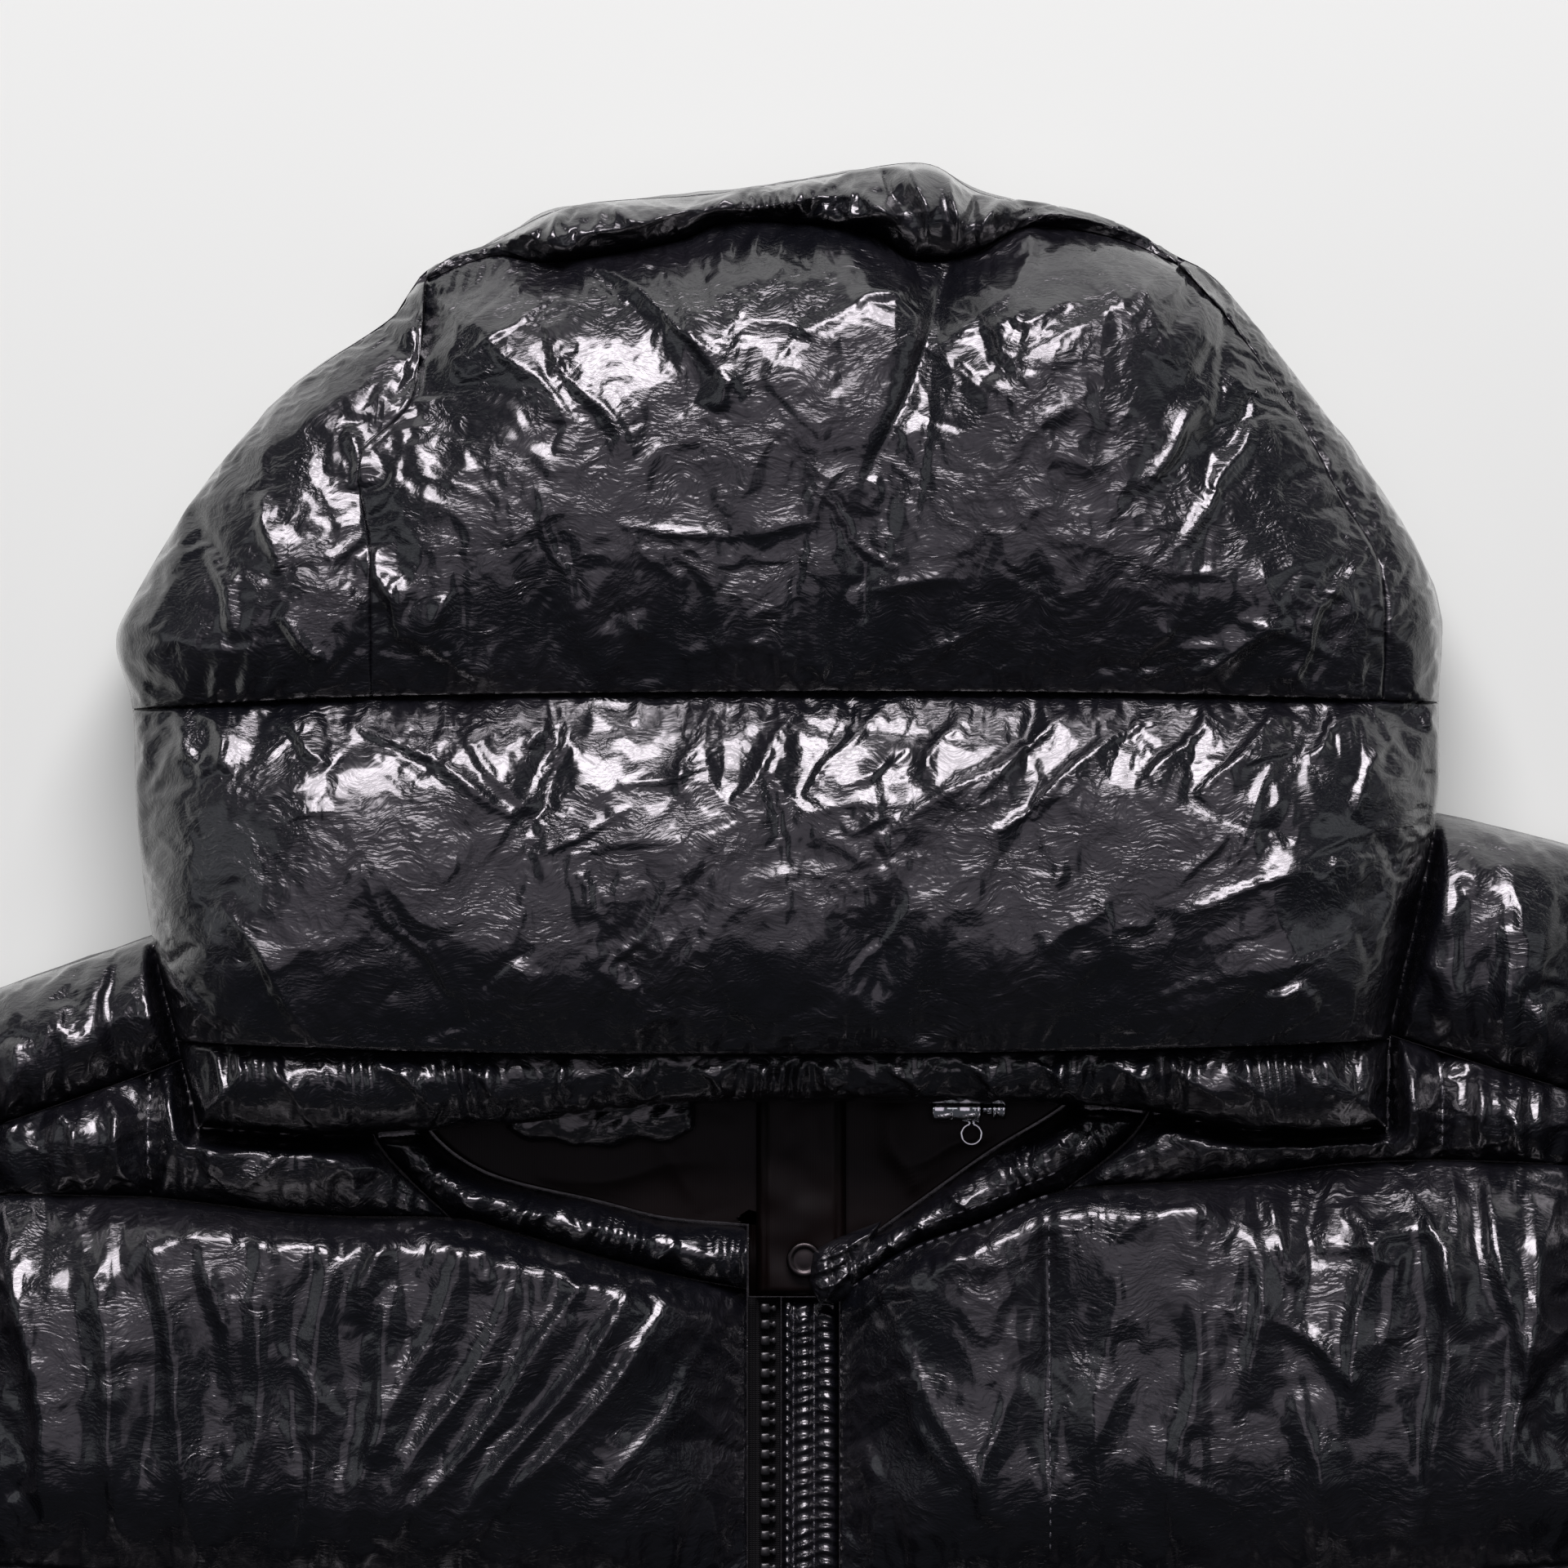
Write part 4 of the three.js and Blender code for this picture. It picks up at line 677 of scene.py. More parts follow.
def front_panel(side):
    left = side == "left"
    sign = -1 if left else 1
    edge = body_left if left else body_right
    centre_x = OPENING_LEFT_X if left else OPENING_RIGHT_X

    def outer_at(y):
        """The side seam's and armhole's x at a height, a little inside the edge of the back."""
        order = np.argsort(edge[:, 1])
        return np.interp(y, edge[order, 1], edge[order, 0]) - sign * 5 * HALF_GAP

    hem_line = smooth([[outer_at(HEM_Y), HEM_Y], [sign * 140, HEM_Y - 3], [centre_x, HEM_Y - 1.8]])
    lines = [hem_line if left else hem_line[::-1]]
    for outer_y, centre_y in zip(SEAM_LEVELS, CENTRE_LEVELS):
        ends = [[outer_at(outer_y), outer_y], [centre_x, centre_y]]
        middle = [(ends[0][0] + ends[1][0]) / 2, (outer_y + centre_y) / 2 - 4]
        rows = [ends[0], middle, ends[1]]
        lines.append(smooth(rows if left else rows[::-1]))
    top = aside(first_line[side], -HALF_GAP - 0.1)
    lines.append(top if left else trimmed(top, (centre_x, top[0, 1]), top[-1]))

    us = even(FRONT_WIDTH, BAND_STEP)
    grids, seams = [], []
    for k, (low, high) in enumerate(zip(lines, lines[1:])):
        outer, inner = (0, -1) if left else (-1, 0)
        ys = np.linspace(low[outer, 1], high[outer, 1], 20)
        outer_line = np.stack([outer_at(ys), ys], -1)
        outer_line[0], outer_line[-1] = low[outer], high[outer]
        outer_line = spread(outer_line)
        centre_line = spread([low[inner], high[inner]])
        top_band = k == len(lines) - 2
        vs = even(abs(high[outer, 1] - low[outer, 1]), BAND_STEP if top_band else CHANNEL_STEP)
        ends = (outer_line, centre_line) if left else (centre_line, outer_line)
        p = patch(low, high, *ends, us, vs)
        x, y = p[..., 0], p[..., 1]
        below, above, *_ = reaches(p, us, vs)
        from_outer = (us if left else 1 - us)[None] * FRONT_WIDTH + 0 * x
        from_centre = FRONT_WIDTH - from_outer
        outer_depth = 1 - 0.55 * eased((y - UNDERARM[1] + 20) / 50)
        gentle = np.clip(((235 if left else 170) - from_centre) / 40, 0, 1) if top_band else 0
        hold = held(below, 1 if k == 0 else 0.52, 20 if k == 0 else 36)
        hold = hold * held(above, 0.52 - 0.1 * gentle, 36 - 26 * gentle)
        hold = hold + 0.18 * gentle * np.clip(1 - above / 48, 0, 1) * rounded(above, 10)
        hold = hold * (1 - outer_depth * (1 - rounded(from_outer, 46))) * held(from_centre, 0.8, 52, 1)
        near = np.minimum(below, above)
        waves = gathers(near, from_outer + 37 * k, 14, 1.7 - 0.9 * gentle, 22) * held(from_outer, 1, 20)
        waves = waves + gathers(near, from_outer + 60 * k, 6, 0.8, 8)
        z = PANEL_BASE + EDGE_RIM + FRONT_LOFT * hold + waves
        if top_band:
            z = z + creases(x, y, FRONT_FOLDS) * np.minimum(hold, 0.8) * held(above, 0.7, 10)
            if not left:
                quilted = np.exp(-np.abs(x - QUILT_X) / 7) * np.clip((y + 215) / 60, 0, 1)
                z = z - QUILT_DEPTH * quilted * held(above, 1, 20)
        z = np.maximum(under_hood(x, y, z), PANEL_BASE + 1.5)
        keep = slice(0 if k == 0 else 1, None)
        seams += [near[keep] < 0.6]
        grids.append(np.dstack([p, z])[keep])
    grid = np.concatenate(grids)
    sewn = np.concatenate(seams)
    nearest = np.full(sewn.shape, 1e3)
    for row in np.flatnonzero(sewn[:, 5]):
        nearest = np.minimum(nearest, np.linalg.norm(grid[..., :2] - grid[row][None, :, :2], axis=-1))
    slack = 0.6 * np.exp(-nearest / 24) * np.where(grid[..., 1] > -236, 0.5, 1)
    grid = inflate(grid, sewn | border(*sewn.shape), slack, pressure=1.2, cap=4)
    grid = finer(grid)
    x, y = grid[..., 0], grid[..., 1]
    inner = np.minimum(1, np.minimum(x - x[:, :1], x[:, -1:] - x) / 8) if left else 1
    rise = crumple(x, y, 60 if left else 70) + strewn(x, y, 61 if left else 71, 420, 80, 35, 1.2)
    rise = rise * np.minimum(1, np.abs(inner))
    grid[..., 2] = np.maximum(under_hood(x, y, grid[..., 2] + rise), PANEL_BASE + 0.4)
    return lines, grid


front_seams = {}
for side in ("left", "right"):
    front_seams[side], grid = front_panel(side)
    front = solid(f"front_{side}", [shell(grid, [(0, PANEL_BASE)])], shell_nylon)
    fitted(front, f"front_{side}")


# Yokes: a padded strip between each shoulder seam and the first sewn line, pieced by a short upright
# seam and gathered where it meets the hood.
YOKE_LOFT = 27
YOKE_SEAM = {"left": -186, "right": 195}
NECK_LEFT = [[-113, -56], [-124, -80], [-119, -105]]
NECK_RIGHT = [[113, -52], [117, -75], [106, -101]]
YOKE_FOLDS = [
    (-212, -92, -206, -116, 6, 4), (-198, -92, -192, -118, 6, 4), (-176, -88, -180, -112, 6, 3.5),
    (-160, -84, -168, -118, 7, 4), (-146, -96, -124, -118, 7, 3), (204, -86, 208, -106, 6, 4),
    (188, -80, 184, -108, 6, 3.5), (172, -88, 150, -110, 7, 4), (140, -100, 124, -112, 7, 3.5),
    (214, -92, 216, -108, 5, 3),
]

corner_share = {
    "left": share_near(first_line["left"], *CORNER_LEFT),
    "right": share_near(first_line["right"], *CORNER_RIGHT),
}
neck_line = {
    "left": smooth([*NECK_LEFT, at(first_line["left"], corner_share["left"])]),
    "right": smooth([*NECK_RIGHT, at(first_line["right"], corner_share["right"])]),
}

for side in ("left", "right"):
    left = side == "left"
    corner = corner_share[side]
    bottom = aside(stretch(first_line[side], 0 if left else corner, corner if left else 1), 2 * HALF_GAP)
    top = aside(smooth(SHOULDER_SEAM_LEFT if left else SHOULDER_SEAM_RIGHT), -HALF_GAP)
    neck = aside(stretch(neck_line[side], 0, 0.988)[::-1], 3 * HALF_GAP if left else -3 * HALF_GAP)
    outer = 0 if left else -1
    armhole = spread([bottom[outer], top[outer]])
    ends = (armhole, neck) if left else (neck, armhole)
    bottom = trimmed(bottom, ends[0][0], ends[1][0])
    top = trimmed(top, ends[0][-1], ends[1][-1])
    us, vs = even(125, 1.7), even(48, 1.7)
    p = patch(bottom, top, *ends, us, vs)
    x, y = p[..., 0], p[..., 1]
    below, above, from_arm, from_neck = reaches(p, us, vs)
    if not left:
        from_arm, from_neck = from_neck, from_arm
    loft = YOKE_LOFT * held(below, 0.45, 20) * held(above, 0.4, 20) * held(from_arm, 0.5, 24)
    loft = loft * held(from_neck, 0.4, 20) * held(np.abs(x - YOKE_SEAM[side]), 0.4, 12)
    near = np.minimum(below, above)
    detail = gathers(near, x, 8, 2.6, 12) + 1.4 * creases(x, y, YOKE_FOLDS) * held(near, 1, 6)
    z = under_hood(x, y, PANEL_BASE + EDGE_RIM + loft + detail)
    pinned = border(*z.shape)
    pinned[:, np.argmin(np.abs(x[len(vs) // 2] - YOKE_SEAM[side]))] = True
    grid = finer(inflate(np.dstack([p, z]), pinned, np.exp(-near / 14), cap=3.5))
    x, y = grid[..., 0], grid[..., 1]
    rise = 0.8 * crumple(x, y, 80) + strewn(x, y, 81, 60, 75, 30, 1.2)
    grid[..., 2] = under_hood(x, y, grid[..., 2] + rise)
    yoke = solid(f"yoke_{side}", [shell(grid, [(0, PANEL_BASE)])], shell_nylon)
    fitted(yoke, f"yoke_{side}")


# Sleeves: laid beside the body, each a front and a back wall sewn together along both edges and into
# the armhole, and quilted across like the body. The cuff is turned in and plain.
ARMHOLE_GAP = 1
SLEEVE_ANGLE = radians(20)
SLEEVE_LENGTH = 620
SLEEVE_LOFT = 40
CUFF_WIDTH = 110
BAFFLE_PITCH = 108
CHANNELS = 5

for side in ("left", "right"):
    left = side == "left"
    armhole = armhole_left if left else mirrored(armhole_right)
    shoulder, underarm = armhole[-1], armhole[0]
    along = np.array([-np.sin(SLEEVE_ANGLE), -np.cos(SLEEVE_ANGLE)])
    across = np.array([along[1], -along[0]])
    cuff = shoulder + (underarm - shoulder) * 0.45 + (-22, 0) + along * SLEEVE_LENGTH * 0.78
    cuff_outer, cuff_inner = cuff + across * CUFF_WIDTH / 2, cuff - across * CUFF_WIDTH / 2
    outer = smooth([
        cuff_outer, shoulder + (cuff_outer - shoulder) * 0.66 + (-16, 11),
        shoulder + (cuff_outer - shoulder) * 0.33 + (-27, 17), shoulder + (-40, -12), shoulder,
    ])
    inner = smooth([
        cuff_inner, underarm + (cuff_inner - underarm) * 0.5 + (4, -3), underarm + (-11, -22), underarm,
    ])
    seam = aside(armhole[::-1], -ARMHOLE_GAP)
    s = np.linspace(0, 1, LINE_STEPS + 1)[:, None]
    outer = outer + (seam[0] - outer[-1]) * s**3
    inner = inner + (seam[-1] - inner[-1]) * s**3
    us, vs = even(170, 4.2), even(CHANNELS * BAFFLE_PITCH, 4.5)
    p = patch(spread([cuff_outer, cuff_inner]), seam, outer, inner, us, vs)
    if not left:
        p = p[:, ::-1] * (-1, 1)
    x, y = p[..., 0], p[..., 1]
    wide = np.linalg.norm(p[:, -1] - p[:, 0], axis=-1)[:, None]
    t = (vs * CHANNELS)[:, None] % 1
    near = np.minimum(t, 1 - t) * BAFFLE_PITCH
    rib = near + 0 * x
    edge = np.minimum(us, 1 - us)[None] * wide
    from_cuff = vs[:, None] * CHANNELS * BAFFLE_PITCH
    hold = rounded(edge, wide * 0.42) * held(near, 0.5, 34) * held(from_cuff, 1, 18)
    waves = gathers(rib, us[None] * wide + from_cuff, 19, 2.2) * rounded(edge, 30)
    z = PANEL_BASE + EDGE_RIM + SLEEVE_LOFT * hold + waves
    pinned = border(*z.shape)
    pinned[np.argmin(np.abs(vs[:, None] - np.arange(1, CHANNELS) / CHANNELS), 0)] = True
    grid = finer(inflate(np.dstack([p, z]), pinned, np.exp(-rib / 26), cap=6))
    x, y = grid[..., 0], grid[..., 1]
    rim = np.minimum(1, np.linspace(0, 8, grid.shape[1]))
    rim = np.minimum(rim, rim[::-1])[None]
    rise = crumple(x, y, 90) + strewn(x, y, 91, 260, 70, 40, 1.2)
    grid[..., 2] = np.maximum(grid[..., 2] + rim * rise, PANEL_BASE + 0.4)
    front = solid(f"sleeve_{side}_front", [shell(grid, [(0, PANEL_BASE)])], shell_nylon)
    fitted(front, f"sleeve_{side}_front")
    behind = solid(f"sleeve_{side}_back", [shell(level(p, BACK_LOFT), PADDED_WALLS)], shell_nylon)
    fitted(behind, f"sleeve_{side}_back")


# Neck lining: smooth brown-black satin inside the neck. It shows in the opening, lies flat on the
# padded back and runs up under the hood.
LINING_THICKNESS = 2.7
LINING_CLOTH = 1.2
GUARD_BOTTOM = -151.5
OPENING_LEFT = [
    [-100, -48], [-110, -75], [-107, -98], [-88, -114.7], [-53, -123.8], [-33.6, -128.6],
    [-9.8, -130.5],
]
OPENING_RIGHT = [[98, -44], [100, -70], [88, -92], [62, -109], [38, -126], [20, -139]]
LINING_FOLDS = [
    (-88, -84, -14, -96, 9, 1.6), (-70, -118, -18, -112, 8, 1.4), (-40, -86, -26, -126, 7, 1.2),
    (30, -96, 40, -122, 6, 2.2), (52, -96, 84, -88, 7, 1.6), (38, -112, 62, -104, 5, 1.4),
]


SATIN_DARK = (0.001, 0.0006, 0.0006)
SATIN_BROWN = (0.006, 0.0028, 0.0024)


def satin(name):
    made, shader, wire, place = new_material(name)
    cloud = cloudy(place, 45.0, 2.0)
    ribs = wire.node("ShaderNodeTexWave", {"bands_direction": "X"}, {
        "Vector": place, "Scale": 700.0, "Distortion": 0.6, "Detail": 1.0,
    }, "Fac")
    feed(shader, {
        "Base Color": blended(cloud, SATIN_DARK, SATIN_BROWN),
        "Roughness": cloud * 0.12 + 0.36,
        "Normal": raised(cloud * 0.0011 + ribs * 0.00002),
    }, {"Specular IOR Level": 0.12})
    return made


lining_satin = satin("lining_satin")

opening_left, opening_right = smooth(OPENING_LEFT), smooth(OPENING_RIGHT)
top_line = aside(stretch(back_top, share_near(back_top, -94, -15), share_near(back_top, 98, 2)), -1.5)
foot = 0.15
lining_sides = []
for x, line in (
    (OPENING_LEFT_X + 2 * SEAM_GAP, aside(opening_left, 0.6)), (19.5, aside(opening_right, -0.6)),
):
    upper = line[::-1]
    start = [x, upper[0, 1] + 4]
    end = top_line[0] if x < 0 else top_line[-1]
    side = joined(spread([[x, GUARD_BOTTOM], start]), spread([start, *upper[20::20], end]), foot)
    lining_sides.append(side)
us, vs = even(210, 2.6), np.concatenate([[0, foot / 2], np.linspace(foot, 1, 70)])
left_line, right_line = at(lining_sides[0], vs)[:, None], at(lining_sides[1], vs)[:, None]
bow = at(top_line, us) - (top_line[0] + (top_line[-1] - top_line[0]) * us[:, None])
p = left_line + (right_line - left_line) * us[None, :, None] + bow[None] * (vs**5)[:, None, None]
x, y = p[..., 0], p[..., 1]
rise = eased((y + 79) / 17)
z = PANEL_BASE + LINING_THICKNESS + (HOOD_PLANE - PANEL_BASE - LINING_THICKNESS) * rise
from_side = np.minimum(np.linalg.norm(p - p[:, :1], axis=-1), np.linalg.norm(p - p[:, -1:], axis=-1))
z = np.minimum(z + creases(x, y, LINING_FOLDS) * np.clip(from_side / 8, 0, 1), HOOD_PLANE)


def cloth_sheet(grid, thickness):
    """A closed thin sheet: the grid, the same grid below it, and the edge between them."""
    quads, rim = lattice(*grid.shape[:2])
    below = grid.size // 3
    edge = np.stack([rim + below, np.roll(rim, -1) + below, np.roll(rim, -1), rim], -1)
    points = np.concatenate([grid.reshape(-1, 3), grid.reshape(-1, 3) - (0, 0, thickness)])
    return points, np.concatenate([quads, quads[:, ::-1] + below, edge]), np.empty(0, int)


lining = solid("neck_lining", [cloth_sheet(np.dstack([p, z]), LINING_CLOTH)], lining_satin)
fitted(lining, "neck_lining")


# Collar bands: the lower edge of the neck opening, rolled outwards over a thin filling and sewn down
# along its foot, with puckers where the thread draws it in.
COLLAR_LOFT = 19
COLLAR_LONG = 190
COLLAR_FOLDS = {
    "left": [(-96, -120, -86, -128, 4, 2), (-72, -122, -80, -132, 4, 1.6), (-30, -131, -36, -142, 4, 2)],
    "right": [
        (24, -139, 30, -146, 3, 2.2), (31, -133, 36, -141, 3, 2.4), (39, -128, 44, -136, 3, 2.4),
        (50, -119, 56, -128, 4, 1.6), (80, -100, 86, -112, 4, 2), (92, -88, 104, -96, 4, 2),
    ],
}

PUCKERS = [
    (11, -141, 27, -133, 2, 2.5), (10, -145, 20, -140, 1.6, 2.4), (12, -149, 24, -143, 1.8, 2.6),
    (13, -152, 18, -147, 1.5, 2), (14, -137, 16, -148, 1.6, -2), (20, -136, 21, -146, 1.6, -1.8),
]
PUCKERED_END = (
    spread([[11.5, -153], [16, -153.5], [22, -151]]), smooth([[9.5, -138], [17, -134], [30, -129]]),
    smooth([[11.5, -153], [8.6, -147], [9.5, -138]]), smooth([[22, -151], [25, -142], [30, -129]]),
)
PUCKER_BASE = 33.8

for side in ("left", "right"):
    left = side == "left"
    corner = corner_share[side]
    band = stretch(first_line["left"], corner, 1) if left else stretch(first_line["right"], 0, corner)[::-1]
    inner = aside(opening_left if left else opening_right, -HALF_GAP if left else HALF_GAP)
    outer = aside(joined(neck_line[side], band, 0.5), HALF_GAP if left else -HALF_GAP)
    neck, opening = spread([outer[0], inner[0]]), spread([outer[-1], inner[-1]])
    us, vs = even(COLLAR_LONG, 1.3), even(20, 1.3)
    if left:
        p = patch(outer, inner, neck, opening, us, vs)
    else:
        p = patch(outer[::-1], inner[::-1], opening, neck, us, vs)
    x, y = p[..., 0], p[..., 1]
    from_foot, from_roll, *_ = reaches(p, us, vs)
    run = us[None] * COLLAR_LONG + 0 * x
    uneven = 0.4 + 0.6 * np.clip(noise(run, 0 * run, 23, 99) + 0.6, 0, 1)
    z = PANEL_BASE + EDGE_RIM + COLLAR_LOFT * rounded(from_roll, 9) * held(from_foot, 0.5, 9)
    z = z + gathers(np.minimum(from_foot, from_roll), run, 7, 2.2, 9) * uneven
    z = z + 1.3 * creases(x, y, COLLAR_FOLDS[side]) * np.clip(from_foot / 4, 0, 1)
    z = under_hood(x, y, z)
    grid = finer(inflate(np.dstack([p, z]), border(*z.shape), np.full(z.shape, 0.6), cap=2))
    x, y = grid[..., 0], grid[..., 1]
    rise = 0.9 * crumple(x, y, 100) + strewn(x, y, 101, 90, 80, 30, 1.2)
    grid[..., 2] = under_hood(x, y, grid[..., 2] + rise)
    forms = [shell(grid, [(0, PANEL_BASE)])]
    if not left:
        us, vs = even(24, 0.5), even(19, 0.5)
        p = patch(*PUCKERED_END, us, vs)
        x, y = p[..., 0], p[..., 1]
        edge = np.minimum(np.minimum(us, 1 - us)[None] * 20, np.minimum(vs, 1 - vs)[:, None] * 17)
        z = PUCKER_BASE + 0.7 + 5 * rounded(edge, 6) + creases(x, y, PUCKERS) * np.clip(edge / 2, 0, 1)
        z = np.maximum(z + 0.8 * crumple(x, y, 105), PUCKER_BASE + 0.6)
        forms.append(shell(np.dstack([p, z]), [(0, PUCKER_BASE)]))
    fitted(solid(f"collar_{side}", forms, shell_nylon), f"collar_{side}")


# Chin guard: a plain strip of the lining satin behind the top of the zip, lightly filled, with a bound
# edge on each side.
GUARD = {"left": -7, "right": 19.6, "top": -88}
GUARD_LOFT = 6.7
GUARD_BASE = PANEL_BASE + LINING_THICKNESS + SEAM_GAP
BINDING = 2.6



def strip(left, right, low, high, us, vs):
    """The x and y of a plain upright strip's points, in rows along x."""
    x = left + (right - left) * us[None] + 0 * vs[:, None]
    y = low + (high - low) * vs[:, None] + 0 * us[None]
    return x, y


us, vs = even(GUARD["right"] - GUARD["left"], 0.5), even(GUARD["top"] - GUARD_BOTTOM, 0.8)
x, y = strip(GUARD["left"], GUARD["right"], GUARD_BOTTOM, GUARD["top"], us, vs)
from_side = np.minimum(x - GUARD["left"], GUARD["right"] - x)
from_end = np.minimum(y - GUARD_BOTTOM, GUARD["top"] - y)
z = GUARD_BASE + 0.4 + (GUARD_LOFT - 0.9) * rounded(from_side, 4) * rounded(from_end, 2.5)
z = z - 0.5 * np.exp(-((from_side - BINDING) / 0.8) ** 2)
z = z + 1.3 * noise(x, y, 13, 110) * np.minimum(from_side / 3, 1)
guard = solid("chin_guard", [shell(np.dstack([x, y, z]), [(0, GUARD_BASE)])], lining_satin)
fitted(guard, "chin_guard")


# Zip: woven tape sewn under the left front, with a row of moulded teeth clamped on its edge. The other
# row is closed into it, under the placket.
OPENING_TOP = -152
ZIP_LEFT, ZIP_RIGHT = -9.5, 0.2
ZIP_TAPE = 2.7
TAPE_CORD_X = -6.6
TOOTH_PITCH = 4.8
TOOTH = {"left": -5.8, "right": -3.0, "long": 2.8, "knob": 1.9, "high": 2.1}
SLIDER_TOP = -676


def woven_tape(name):
    made, shader, wire, place = new_material(name)

    def threads(direction, scale):
        return wire.node("ShaderNodeTexWave", {"bands_direction": direction}, {
            "Vector": place, "Scale": scale,
        }, "Fac")

    weave = threads("X", 380.0) * threads("Y", 520.0)
    feed(shader, {
        "Base Color": blended(weave, (0.0014, 0.0014, 0.0018), (0.004, 0.004, 0.005)),
        "Roughness": weave * 0.1 + 0.7,
        "Normal": raised(weave * 0.00018),
    }, {"Specular IOR Level": 0.15})
    return made


def moulded(name, shade, roughness):
    made, shader, _, place = new_material(name)
    cloud = cloudy(place, 300.0, 2.0)
    dark, pale = (shade, shade, shade * 1.1), (shade * 1.7, shade * 1.7, shade * 1.8)
    feed(shader, {"Base Color": blended(cloud, dark, pale), "Roughness": cloud * 0.15 + roughness}, {})
    return made


us, vs = even(ZIP_RIGHT - ZIP_LEFT, 0.6), even(OPENING_TOP - HEM_Y, 2.5)
x, y = strip(ZIP_LEFT, ZIP_RIGHT, HEM_Y + 1, OPENING_TOP, us, vs)
cord = 0.5 * np.exp(-((x - TAPE_CORD_X) / 0.7) ** 2)
z = PANEL_BASE + ZIP_TAPE - 0.5 + cord + 0.1 * noise(x, y, 8, 120)
tape = solid("zip_tape", [shell(np.dstack([x, y, z]), [(0, PANEL_BASE)])], woven_tape("woven_tape"))
fitted(tape, "zip_tape")


BEVEL_SHARE = 0.84


def prism(outline, low, high, bevel):
    """A closed block over an outline of an even number of points, with a small bevel round its top."""
    outline = np.asarray(outline, float)
    middle = outline.mean(0)
    count = len(outline)
    rings = [(outline, low), (outline, high - bevel), (middle + (outline - middle) * BEVEL_SHARE, high)]
    points = np.concatenate([np.column_stack([ring, np.full(count, z)]) for ring, z in rings])
    points = np.concatenate([points, [[*middle, high + 0.05], [*middle, low]]])
    step = np.arange(count)
    turn = np.roll(step, -1)
    quads = [np.stack([step + k, turn + k, turn + k + count, step + k + count], -1) for k in (0, count)]
    top, foot = 3 * count, 3 * count + 1
    pairs = step[::2]
    fan = np.stack([pairs, turn[::2], (pairs + 2) % count], -1)
    quads.append(np.column_stack([fan + 2 * count, pairs * 0 + top]))
    quads.append(np.column_stack([fan[:, ::-1], pairs * 0 + foot]))
    return points, np.concatenate(quads), np.empty(0, int)


teeth = []
y = OPENING_TOP - 3
while y > SLIDER_TOP:
    half, left, right = TOOTH["long"] / 2, TOOTH["left"], TOOTH["right"]
    low, high = PANEL_BASE + ZIP_TAPE - 0.2, PANEL_BASE + ZIP_TAPE + TOOTH["high"]
    teeth.append(prism([
        (left, y - half + 0.4), (left + 0.4, y - half), (right - 0.3, y - half), (right, y - half + 0.3),
        (right, y + half - 0.3), (right - 0.3, y + half), (left + 0.4, y + half), (left, y + half - 0.4),
    ], low, high, 0.35))
    knob = right + TOOTH["knob"]
    teeth.append(prism([
        (right - 0.2, y - 0.55), (right + 0.7, y - 0.5), (right + 0.9, y - 1.0), (knob - 0.4, y - 1.0),
        (knob, y - 0.6), (knob, y + 0.6), (knob - 0.4, y + 1.0), (right + 0.9, y + 1.0),
        (right + 0.7, y + 0.5), (right - 0.2, y + 0.55),
    ], low + 0.3, high - 0.25, 0.3))
    y -= TOOTH_PITCH
zip_teeth = solid("zip_teeth", teeth, moulded("moulded_teeth", 0.006, 0.26))
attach(zip_teeth, "jacket")


# Placket: a strip of shell nylon over the right half of the zip, ruched on two lines of stitching so
# that it stands up in three columns of small arched ribs.
PLACKET_LEFT, PLACKET_RIGHT = 0.5, 17.5
RIB_PITCH = 3.5
RIB_HIGH = 2.0
RIB_LEAN = np.array([-1.4, 1.2, -0.9])
RIB_BOW = np.array([0.9, 0.5, 1.0])
RIB_START = np.array([0.0, 1.1, 0.4])
GROOVES = (3.9, 10.1)

us, vs = even(PLACKET_RIGHT - PLACKET_LEFT, 0.45), even(OPENING_TOP - HEM_Y, 0.58)
x, y = strip(PLACKET_LEFT, PLACKET_RIGHT, HEM_Y + 1, OPENING_TOP, us, vs)
marks = np.array([PLACKET_LEFT, *GROOVES, PLACKET_RIGHT])
column = np.clip(np.searchsorted(marks, x) - 1, 0, 2)
low, high = marks[column], marks[column + 1]
share = np.clip((x - low) / (high - low), 0, 1)
arch = np.sin(pi * share)
lean = RIB_LEAN[column] * (share - 0.5) + RIB_BOW[column] * arch
wander = 0.9 * noise(x, y, 9, 130) + RIB_START[column]
rib = 0.5 + 0.5 * np.cos(tau * (y + wander - lean) / RIB_PITCH)
rib_high = RIB_HIGH * arch ** 0.6 * (0.7 + 0.5 * noise(x, y, 5, 131))
edge = np.clip(np.minimum(x - PLACKET_LEFT, PLACKET_RIGHT - x) / 1.2, 0.2, 1)
z = PANEL_BASE + 3.6 + 2.9 * arch ** 0.5 * edge
z = z + rib_high * rib ** 2.2
ends = np.clip((OPENING_TOP - y) / 6, 0, 1)
z = PANEL_BASE + 2 + (z - PANEL_BASE - 2) * ends ** 0.5
ruched_nylon = crinkled_nylon("placket_nylon", 0.35)
placket = solid("placket", [shell(np.dstack([x, y, z]), [(0, PANEL_BASE)])], ruched_nylon)
fitted(placket, "placket")


